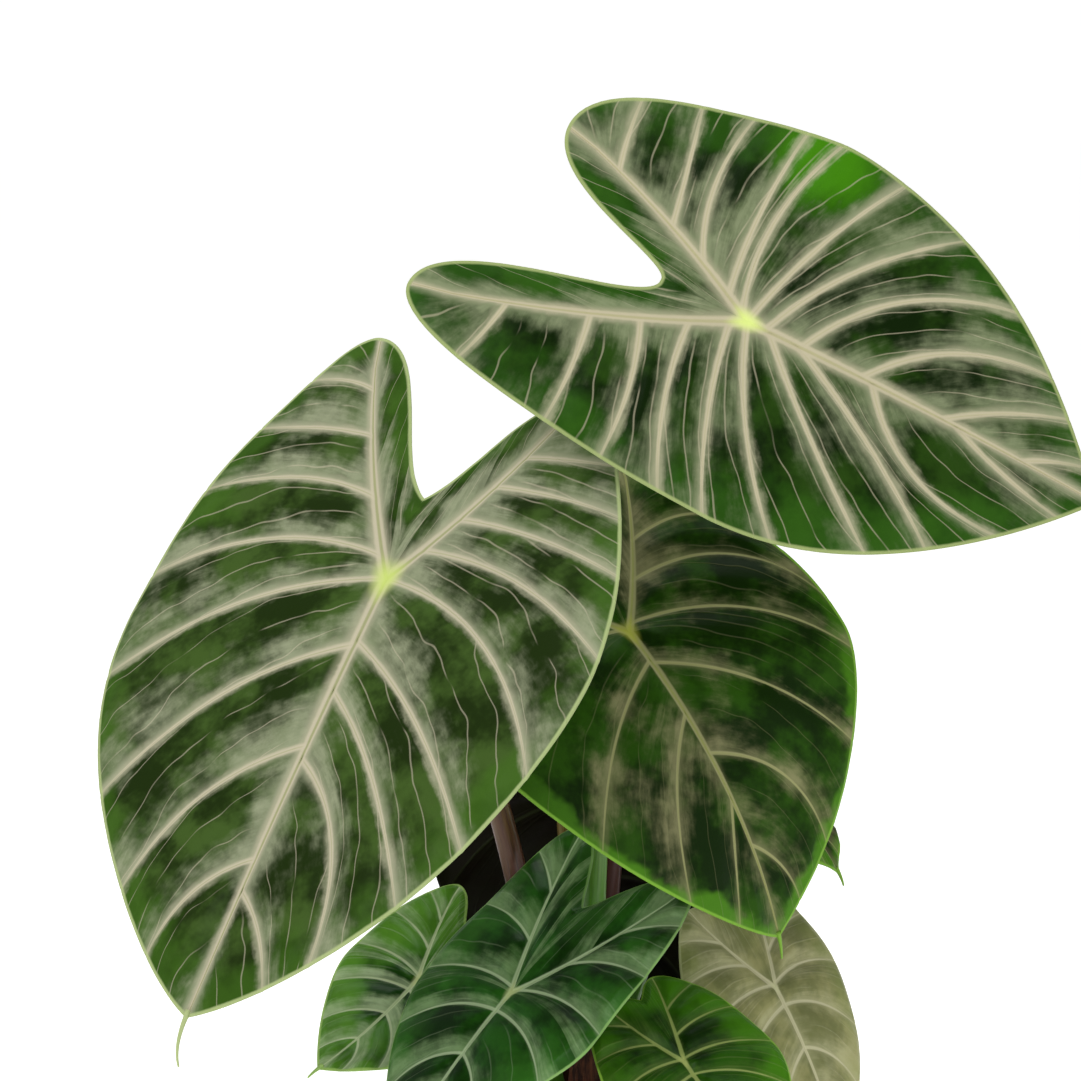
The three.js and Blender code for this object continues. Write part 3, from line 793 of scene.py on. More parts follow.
@dataclass
class Blade:
    """A heart-shaped blade in its own space: +Y to the tip, +Z the upper face, the stem at the origin."""

    name: str
    finish: BladeFinish
    junction: Triple
    heading: float
    pitch: float
    roll: float
    length: float
    droop: float
    fold: float
    cup: float
    drip: float
    hook: float
    left: Half
    right: Half
    sinus: float = 0.2
    sinus_open: float = 50.0
    sinus_hold: float = 0.37
    tip_angle: float = 65.0
    tip_hold: float = 0.15
    lobe_in_hold: float = 0.5
    lobe_out_hold: float = 0.44
    widest_back_hold: float = 0.4
    widest_tip_hold: float = 0.4
    fold_softness: float = 12.0
    thickness: float = 0.7
    edge_thickness: float = 0.3
    rib_width: float = 0.016
    vein_width: float = 0.0072
    pillow: float = 0.011
    wave: float = 0.008
    wave_count: float = 3.0
    seed: float = 1.0
    columns: int = 15
    rows: int = 70
    cap: float = 1.2

    def outline(self, half: Half, side: float, place: Grid) -> Grid:
        """Find points on one half of the outline.

        Args:
            half: the half's proportions.
            side: 1 for the +X half, -1 for the -X half.
            place: edge places from 0 at the sinus to 3 at the tip.

        Returns:
            Flat points in millimetres.
        """
        size = self.length
        lobe = np.array([half.lobe_x, -half.lobe_y]) * size
        widest = np.array([half.widest_x, half.widest_y]) * size
        start, tip = np.array([0, -self.sinus * size]), np.array([0, size])
        inner = self.sinus_hold * (half.lobe_y - self.sinus) * size
        outer = self.tip_hold * (size - widest[1])
        opening, taper = math.radians(self.sinus_open), math.radians(self.tip_angle)
        curves = [
            (start, start + inner * np.array([math.sin(opening), -math.cos(opening)]),
             lobe - np.array([self.lobe_in_hold * lobe[0], 0]), lobe),
            (lobe, lobe + np.array([self.lobe_out_hold * (widest[0] - lobe[0]), 0]),
             widest - np.array([0, self.widest_back_hold * (widest[1] - lobe[1])]), widest),
            (widest, widest + np.array([0, self.widest_tip_hold * (size - widest[1])]),
             tip + outer * np.array([math.sin(taper), -math.cos(taper)]), tip),
        ]
        piece = np.clip(place.astype(int), 0, 2)
        t = (place - piece)[:, None]
        p = [np.array([c[k] for c in curves])[piece] for k in range(4)]
        flat = (1 - t) ** 3 * p[0] + 3 * t * (1 - t) ** 2 * p[1] + 3 * t * t * (1 - t) * p[2] + t**3 * p[3]
        return flat * np.array([side, 1.0])

    def rib_line(self, half: Half, side: float, share: Grid) -> Grid:
        """Trace the lobe's rib.

        Args:
            half: the half it is on.
            side: 1 or -1.
            share: shares of the way from the junction to the rib's end.

        Returns:
            Flat points in millimetres.
        """
        size, t = self.length, share[:, None]
        bend = np.array([0.55 * half.lobe_x * side, -0.4 * half.lobe_y]) * size
        end = np.array([0.92 * half.lobe_x * side, -0.86 * half.lobe_y]) * size
        return 2 * t * (1 - t) * bend + t * t * end

    def inner_line(self, half: Half, side: float, place: Grid) -> Grid:
        """Trace the line every vein leaves from: tip, junction, lobe rib out and back, sinus.

        Args:
            half: the half it is on.
            side: 1 or -1.
            place: 0 at the tip, 1 and 3 at the junction, 2 at the lobe rib's end, 4 at the sinus.

        Returns:
            Flat points in millimetres.
        """
        flat = np.zeros((len(place), 2))
        first, out, back, last = place <= 1, (place > 1) & (place <= 2), (place > 2) & (place < 3), place >= 3
        flat[first, 1] = (self.length - self.cap) * (1 - place[first])
        flat[out] = self.rib_line(half, side, place[out] - 1)
        flat[back] = self.rib_line(half, side, 3 - place[back])
        flat[last, 1] = -(self.sinus * self.length - self.cap) * (place[last] - 3)
        return flat

    def guides(self, half: Half) -> Grid:
        """List the lines that the mesh follows: every vein, and the corners of the inner line.

        Args:
            half: the half whose veins are followed.

        Returns:
            Rows of inner place, edge place, bow near the rib and bow near the margin.
        """
        rows = [(0.0, 3.0, 0.0, 0.0)]
        low = [v for v in half.veins if v.rise is Rise.MIDRIB]
        high = [v for v in half.veins if v.rise is Rise.COSTA]
        rows += [(1 - v.share, v.edge, v.bow, v.bow_out) for v in low]
        if low[-1].share > 0:
            bow = (low[-1].bow + high[0].bow) / 2
            rows.append((1.0, (low[-1].edge + high[0].edge) / 2, bow, bow))
        rows += [(1 + v.share, v.edge, v.bow, v.bow_out) for v in high]
        rows += [(2.0, 1.0, 0.0, 0.0), (2.5, 0.62, 0.0, 0.0), (3.0, 0.28, 0.0, 0.0), (4.0, 0.0, 0.0, 0.0)]
        return np.array(rows)

    def stations(self) -> dict[float, Grid]:
        """Place the mesh's columns, shared by both halves along the midrib and below the junction.

        Returns:
            For each side, rows of inner place, edge place, two bows and the count of guides passed.
        """
        lines = {1.0: self.guides(self.right), -1.0: self.guides(self.left)}
        knots = sorted({round(float(g), 4) for rows in lines.values() for g in rows[:, 0] if g <= 1})
        shared = self.between(knots, 0.6)
        found: dict[float, Grid] = {}
        for side, rows in lines.items():
            order = np.arange(len(rows), dtype=float)
            outward = [float(g) for g in rows[:, 0] if 1 <= g <= 2]
            middle = self.between(outward, 1.0)[1:]
            back = [4 - g for g in middle[::-1]][1:] + [3.0]
            below = [3 + k / 10 for k in range(1, 11)]
            inner = np.array(shared + middle + back + below)
            column = np.interp(inner, rows[:, 0], order)
            follow = [np.interp(column, order, rows[:, k]) for k in (1, 2, 3)]
            found[side] = np.column_stack([inner] + follow + [column])
        return found

    def between(self, knots: list[float], share: float) -> list[float]:
        """Fill the spans between knots with columns that crowd at each knot.

        Args:
            knots: rising places that must each have a column.
            share: the part of the usual column count that each span gets.

        Returns:
            All the places.
        """
        count = max(4, int(self.columns * share))
        steps = np.arange(count) / count
        eased = steps - 0.45 * np.sin(2 * math.pi * steps) / (2 * math.pi)
        filled: list[float] = []
        for low, high in zip(knots, knots[1:]):
            n = count if high - low > 0.04 else max(3, count // 3)
            local = eased if n == count else np.arange(n) / n
            filled += [float(v) for v in low + (high - low) * local]
        return filled + [knots[-1]]

    def vein_curve(self, half: Half, side: float, rows: Grid, t: Grid) -> Grid:
        """Trace lines from the inner line to the margin.

        Args:
            half: the half they are on.
            side: 1 or -1.
            rows: inner place, edge place and two bows of each line.
            t: shares along the lines, from rib to margin.

        Returns:
            Flat points, one row of t for each line.
        """
        start = self.inner_line(half, side, rows[:, 0])
        end = self.outline(half, side, rows[:, 1])
        chord = end - start
        square = np.column_stack([-chord[:, 1], chord[:, 0]]) * side
        one = start + chord / 3 + square * rows[:, 2:3]
        two = start + chord * 2 / 3 + square * rows[:, 3:4]
        s = t[None, :, None]
        return (
            (1 - s) ** 3 * start[:, None] + 3 * s * (1 - s) ** 2 * one[:, None]
            + 3 * s * s * (1 - s) * two[:, None] + s**3 * end[:, None]
        )

    @staticmethod
    def reach(points: Grid, line: Grid) -> tuple[Grid, Grid]:
        """Measure how far points lie from a line of short pieces.

        Args:
            points: flat points.
            line: the line's points in order.

        Returns:
            The distance of each point, and the share of the line where it is nearest.
        """
        a, d = line[:-1], line[1:] - line[:-1]
        away = points[:, None] - a[None]
        t = np.clip((away * d).sum(-1) / np.maximum((d * d).sum(-1), 1e-9), 0, 1)
        gap = np.hypot(*np.moveaxis(away - t[..., None] * d, -1, 0))
        best = gap.argmin(1)
        row = np.arange(len(points))
        return gap[row, best], (best + t[row, best]) / len(d)

    def bend(self, flat: Grid, lift: Grid) -> Grid:
        """Fold, cup and droop flat points.

        Args:
            flat: flat points in millimetres.
            lift: height of each above the plain blade.

        Returns:
            Points in blade space, in millimetres.
        """
        x, y = flat[:, 0], flat[:, 1]
        trough = np.hypot(x, self.fold_softness) - self.fold_softness
        height = self.fold * trough + self.cup * x * x / 100 + lift
        rate = np.where(y > 0, self.droop / 1000 or 1e-9, 1e-9)
        angle = rate * y
        along, down = np.sin(angle) / rate, -(1 - np.cos(angle)) / rate
        return np.column_stack([x, along + height * np.sin(angle), down + height * np.cos(angle)])

    def matrix(self) -> Matrix:
        """Give the turn and place that take blade space, in millimetres, to the plant, in metres.

        Returns:
            The matrix.
        """
        turn = (
            Matrix.Rotation(math.radians(self.heading), 4, "Z")
            @ Matrix.Rotation(math.radians(-self.pitch), 4, "X")
            @ Matrix.Rotation(math.radians(self.roll), 4, "Y")
        )
        return Matrix.Translation(Vector(self.junction) * MM) @ turn @ Matrix.Scale(MM, 4)

    def sheet(self, half: Half, side: float, rows: Grid) -> dict[str, Grid]:
        """Shape one half of the blade.

        Args:
            half: the half's proportions and veins.
            side: 1 or -1.
            rows: the mesh's columns.

        Returns:
            Named numbers for every point of the half, the points themselves under top and low.
        """
        t = (np.arange(self.rows + 1) / self.rows) ** 1.08
        grid = self.vein_curve(half, side, rows, t)
        flat = grid.reshape(-1, 2)
        fine = np.linspace(0, 1, RIB_STEPS)
        size = self.length
        between = self.guides(half)[1:-4]
        lanes = self.vein_curve(half, side, between, fine)
        keep = [i for i, row in enumerate(between) if any(abs(row[1] - v.edge) < 1e-6 for v in half.veins)]
        vein = np.full(len(flat), FAR)
        gap = np.full(len(flat), FAR)
        for lane in lanes[keep]:
            away, share = self.reach(flat, lane)
            span = np.linalg.norm(lane[-1] - lane[0])
            short = 0.72 + 0.28 * min(1.0, span / (0.5 * size))
            width = self.vein_width * size * (1.12 - 0.72 * share) * short
            vein, gap = np.minimum(vein, away / width), np.minimum(gap, away)
        rib = np.full(len(flat), FAR)
        lobe_end = np.array([[half.lobe_x * side * 0.99, -half.lobe_y * 0.985]]) * size
        for line, thin in (
            (np.column_stack([np.zeros(RIB_STEPS), size * fine]), 0.8),
            (np.vstack([self.rib_line(half, side, fine), lobe_end]), 0.75),
        ):
            away, share = self.reach(flat, line)
            width = self.rib_width * size * (1 - thin * share)
            rib, gap = np.minimum(rib, away / width), np.minimum(gap, away)
        margin = self.outline(half, side, np.linspace(0, 3, MARGIN_STEPS))
        edge = self.reach(flat, margin)[0]
        heart = np.hypot(flat[:, 0], flat[:, 1])
        wave_place = np.repeat(rows[:, 1], len(t))
        bearing = np.arctan2(np.abs(flat[:, 0]), flat[:, 1])
        t_all = np.tile(t, len(rows))
        span_all = np.repeat(np.linalg.norm(grid[:, -1] - grid[:, 0], axis=1), len(t))
        pillow = self.pillow * size * (1 - np.exp(-((gap / (0.045 * size)) ** 2)))
        pillow *= np.clip(edge / (0.05 * size), 0, 1)
        groove = -0.0035 * size * np.exp(-(rib**2)) - 0.0014 * size * np.exp(-(vein**2))
        sway = self.wave * size * np.clip(1 - edge / (0.2 * size), 0, 1) ** 1.6
        curl = sway * np.sin(bearing * self.wave_count * 2 + self.seed * 2.3 + side)
        curl -= 0.35 * np.exp(-edge / 2)
        in_half = np.column_stack([flat, np.full(len(flat), side * 7.0)])
        bumps = 0.0012 * size * ripple(in_half, self.seed, 0.17 * size) * np.clip(gap / 6, 0, 1)
        lift = pillow + groove + (curl + bumps) * np.clip(np.abs(flat[:, 0]) / 10, 0, 1)
        body = self.edge_thickness + (self.thickness - self.edge_thickness) * np.clip(edge / 6, 0, 1)
        rib_depth = 0.0125 * size * np.exp(-((rib * 1.15) ** 2)) + 0.004 * size * np.exp(-((vein * 1.2) ** 2))
        depth = body + rib_depth * np.clip(edge / 5, 0, 1)
        return {
            "top": self.bend(flat, lift), "low": self.bend(flat, lift - depth), "gap": gap, "vein": vein,
            "rib": rib, "edge": edge, "heart": heart, "flow": t_all * span_all,
            "cell": wave_place * 3 + side * 20, "lane": np.repeat(rows[:, 4], len(t)),
            "span": self.spacing(grid, rows[:, 4]), "fore": flat[:, 1] / size,
        }

    @staticmethod
    def spacing(grid: Grid, lane: Grid) -> Grid:
        """Measure how far apart neighbouring veins are.

        Args:
            grid: flat points, one row for each column of the mesh.
            lane: the count of veins passed at each column.

        Returns:
            The distance at every point, in millimetres.
        """
        across = np.linalg.norm(np.gradient(grid, axis=0), axis=2)
        steps = np.maximum(np.gradient(lane), 1e-6)[:, None]
        return np.clip(across / steps, 0.5, 80.0).reshape(-1)

    def drip_tip(self) -> tuple[Grid, Faces]:
        """Make the thread-like drip tip as a tapering hooked rod in blade space.

        Returns:
            Its points in millimetres and its faces.
        """
        steps, sides, overlap = 14, 10, 3.0
        thick, thin = 1.25, 0.42
        rate = self.droop / 1000
        centre = self.bend(np.array([[0.0, self.length - overlap]]), np.zeros(1))[0]
        stride = (self.drip + overlap) / steps
        rings = []
        for i in range(steps + 1):
            angle = rate * self.length + math.radians(self.hook) * (max(0, i - 1) / steps) ** 1.5
            ahead = np.array([0, math.cos(angle), -math.sin(angle)])
            up = np.array([0, math.sin(angle), math.cos(angle)])
            if i:
                centre = centre + stride * ahead
            radius = thick + (thin - thick) * (i / steps) ** 0.7
            turns = np.arange(sides) * 2 * math.pi / sides
            across = np.outer(np.cos(turns), up) + np.outer(np.sin(turns), np.array([1.0, 0, 0]))
            rings.append(centre + radius * across)
        return np.vstack(rings), ring_faces(steps + 1, sides)

    def build(self) -> bpy.types.Object:
        """Build the closed blade with its ribs, margin and drip tip, and store what its skin reads.

        Returns:
            The blade's object.
        """
        points: list[Grid] = []
        faces: Faces = []
        names = ("gap", "vein", "rib", "edge", "heart", "flow", "cell", "lane", "span", "fore", "under")
        store_up: dict[str, list[Grid]] = {n: [] for n in names}
        base, high = 0, self.rows + 1
        for side, rows in self.stations().items():
            half = self.right if side > 0 else self.left
            data = self.sheet(half, side, rows)
            count = len(data["gap"])
            points += [data["top"], data["low"]]
            for name in names[:-1]:
                store_up[name] += [data[name], data[name]]
            store_up["under"] += [np.zeros(count), np.ones(count)]
            for i in range(len(rows) - 1):
                for j in range(self.rows):
                    a = base + i * high + j
                    quad = (a, a + high, a + high + 1, a + 1)
                    low = tuple(v + count for v in quad)
                    faces.append(quad if side > 0 else quad[::-1])
                    faces.append(low[::-1] if side > 0 else low)
                a, b = base + i * high + self.rows, base + (i + 1) * high + self.rows
                wall = (a, b, b + count, a + count)
                faces.append(wall if side > 0 else wall[::-1])
            base += 2 * count
        tip, tip_faces = self.drip_tip()
        points.append(tip)
        faces += [tuple(v + base for v in f) for f in tip_faces]
        for name in names:
            value = 90.0 if name in ("vein", "rib", "heart", "span") else 0.0
            store_up[name].append(np.full(len(tip), value))
        place = np.vstack(points)
        matrix = np.array(self.matrix())
        world = place @ matrix[:3, :3].T + matrix[:3, 3]
        keys = np.round(world / WELD).astype(np.int64)
        _, first, same = np.unique(keys, axis=0, return_index=True, return_inverse=True)
        same = same.reshape(-1)
        closed = []
        for face in faces:
            loop: list[int] = []
            for v in face:
                k = int(same[v])
                if k not in loop:
                    loop.append(k)
            if len(loop) > 2:
                closed.append(tuple(loop))
        made = mesh_object(f"{self.name}_blade_skin", world[first], closed)
        for name in names:
            store(made, name, np.concatenate(store_up[name])[first])
        return made


# ---------------------------------------------------------------- stems


class NodeTree:
    """A geometry node tree with named inputs, run once on an empty mesh or a given piece."""

    def __init__(self, name: str) -> None:
        """Start a tree with a geometry input and output.

        Args:
            name: the tree's name.
        """
        self.tree = bpy.data.node_groups.new(name, "GeometryNodeTree")
        self.tree.interface.new_socket("Geometry", in_out="INPUT", socket_type="NodeSocketGeometry")
        self.tree.interface.new_socket("Geometry", in_out="OUTPUT", socket_type="NodeSocketGeometry")
        self.wiring = Wiring(self.tree)
        self.entry = self.wiring.node("NodeGroupInput")
        self.exit = self.wiring.node("NodeGroupOutput")
        self.ids: dict[str, str] = {}

    def input(self, name: str, kind: str = "NodeSocketFloat") -> bpy.types.NodeSocket:
        """Add a named input.

        Args:
            name: the input's name.
            kind: the socket's type.

        Returns:
            The socket to wire from.
        """
        socket = self.tree.interface.new_socket(name, in_out="INPUT", socket_type=kind)
        self.ids[name] = socket.identifier
        return next(s for s in self.entry.outputs if s.identifier == socket.identifier)

    def pushed(self, geometry: bpy.types.NodeSocket, height: object) -> bpy.types.NodeSocket:
        """Move every point along its normal.

        Args:
            geometry: the geometry's socket.
            height: how far each point goes, in metres.

        Returns:
            The moved geometry's socket.
        """
        w = self.wiring
        normal = w.node("GeometryNodeInputNormal").outputs[0]
        push = w.fitted("ShaderNodeVectorMath", {0: normal, "Scale": height}, operation="SCALE")
        moved = w.fitted("GeometryNodeSetPosition", {"Geometry": geometry, "Offset": push.outputs[0]})
        return moved.outputs[0]

    def close(self, geometry: bpy.types.NodeSocket, material: bpy.types.Material) -> None:
        """End the tree in Realize Instances and Set Material.

        Args:
            geometry: the socket of the finished geometry.
            material: the material it is given.
        """
        w = self.wiring
        real = w.fitted("GeometryNodeRealizeInstances", {0: geometry})
        paint = w.fitted("GeometryNodeSetMaterial", {"Geometry": real.outputs[0], "Material": material})
        w.feed(self.exit.inputs[0], paint.outputs[0])

    def run(
        self, name: str, values: dict[str, object], base: bpy.types.Mesh | None = None
    ) -> bpy.types.Object:
        """Run the tree and keep its result as a plain mesh.

        Args:
            name: the new piece's name.
            values: the value of each named input.
            base: the mesh the tree starts from, or none.

        Returns:
            The piece, with no modifier.
        """
        carrier = bpy.data.objects.new(f"{name}_carrier", base or bpy.data.meshes.new(f"{name}_seed"))
        bpy.context.scene.collection.objects.link(carrier)
        modifier = carrier.modifiers.new("nodes", "NODES")
        modifier.node_group = self.tree
        for key, value in values.items():
            modifier[self.ids[key]] = value
        graph = bpy.context.evaluated_depsgraph_get()
        mesh = bpy.data.meshes.new_from_object(carrier.evaluated_get(graph), depsgraph=graph)
        mesh.name = name
        bpy.data.objects.remove(carrier)
        made = bpy.data.objects.new(name, mesh)
        bpy.context.scene.collection.objects.link(made)
        return made


class StemTree(NodeTree):
    """Sweeps a ribbed, tapering stem along a bent path."""

    PATH_STEPS = 90
    ROUND_STEPS = 28
    RIBS = 9

    def __init__(self, material: bpy.types.Material) -> None:
        """Wire the tree: path, taper, sweep, fine ribs, material.

        Args:
            material: the stem's material.
        """
        super().__init__(f"{material.name}_tree")
        w = self.wiring
        path = w.fitted(
            "GeometryNodeCurvePrimitiveBezierSegment", {"Resolution": self.PATH_STEPS}, mode="POSITION",
        )
        ends = (("Root", "Start"), ("Lean", "Start Handle"), ("Reach", "End Handle"), ("Top", "End"))
        for label, socket in ends:
            w.feed(path.inputs[socket], self.input(label, "NodeSocketVector"))
        base, neck, swell = self.input("Base radius"), self.input("Neck radius"), self.input("Swell")
        ribs = self.input("Rib depth")
        along = w.node("GeometryNodeSplineParameter").outputs["Factor"]
        taper = w.math("POWER", w.minus(1.0, along), 1.3)
        knuckle = w.times(swell, w.math("POWER", along, 28.0))
        radius = w.plus(w.plus(neck, w.times(w.minus(base, neck), taper)), knuckle)
        spine = self.kept("run", path.outputs[0], along)
        sized = w.fitted("GeometryNodeSetCurveRadius", {0: spine, "Radius": radius})
        ring = w.fitted("GeometryNodeCurvePrimitiveCircle", {"Resolution": self.ROUND_STEPS, "Radius": 1.0})
        around = w.node("GeometryNodeSplineParameter").outputs["Factor"]
        turn = self.kept("turn", ring.outputs[0], around)
        sweep = w.fitted(
            "GeometryNodeCurveToMesh", {"Curve": sized.outputs[0], "Profile Curve": turn, "Fill Caps": True},
        )
        if "Scale" in sweep.inputs:
            w.feed(sweep.inputs["Scale"], radius)
        named = w.fitted("GeometryNodeInputNamedAttribute", {"Name": "turn"}, data_type="FLOAT")
        wave = w.math("SINE", w.times(named.outputs[0], 2 * math.pi * self.RIBS))
        moved = self.pushed(sweep.outputs[0], w.times(wave, ribs))
        smooth = w.fitted("GeometryNodeSetShadeSmooth", {"Geometry": moved})
        self.close(smooth.outputs[0], material)

    def kept(self, name: str, curve: bpy.types.NodeSocket, value: object) -> bpy.types.NodeSocket:
        """Store a number on a curve's points.

        Args:
            name: the attribute's name.
            curve: the curve's socket.
            value: the number to keep.

        Returns:
            The curve's socket, with the attribute.
        """
        made = self.wiring.fitted(
            "GeometryNodeStoreNamedAttribute", {"Name": name, "Geometry": curve, "Value": value},
            data_type="FLOAT", domain="POINT",
        )
        return made.outputs[0]


@dataclass
class Petiole:
    """A leaf stem from the corm to the back of its blade."""

    name: str
    finish: StemFinish
    root: tuple[float, float]
    lean: Triple
    reach: float
    base: float
    neck: float
    root_height: float = 135.0
    swell: float = 1.0
    rib_depth: float = 0.12

    def build(self, blade: Blade, tree: StemTree) -> bpy.types.Object:
        """Sweep the stem up to its blade.

        Args:
            blade: the blade it carries.
            tree: the stem tree in this stem's finish.

        Returns:
            The stem as a plain mesh.
        """
        facing = (blade.matrix().to_3x3() @ Vector((0, 0, 1))).normalized()
        top = Vector(blade.junction) * MM - facing * (0.7 + 0.0045 * blade.length) * MM
        root = Vector((*self.root, self.root_height)) * MM
        values = {
            "Root": root, "Lean": root + Vector(self.lean) * MM,
            "Reach": top - facing * self.reach * MM, "Top": top,
            "Base radius": self.base * MM, "Neck radius": self.neck * MM, "Swell": self.swell * MM,
            "Rib depth": self.rib_depth * MM,
        }
        return tree.run(f"{self.name}_stem", values)


@dataclass
class Leaf:
    """A blade and its stem."""

    blade: Blade
    petiole: Petiole

    def dressed(self, trees: dict[str, StemTree], skins: dict[str, bpy.types.Material]) -> None:
        """Build both pieces and put them in the frame.

        Args:
            trees: the stem tree for each stem finish.
            skins: the material of each blade finish.
        """
        name, look = self.blade.name, self.blade.finish
        if look.name not in skins:
            skins[look.name] = look.material()
        dress(self.blade.build(), skins[look.name], look.slot, f"{name}_blade")
        finish = self.petiole.finish
        if finish.name not in trees:
            trees[finish.name] = StemTree(finish.material())
        stem = self.petiole.build(self.blade, trees[finish.name])
        dress(stem, stem.data.materials[0], finish.slot, f"{name}_petiole")


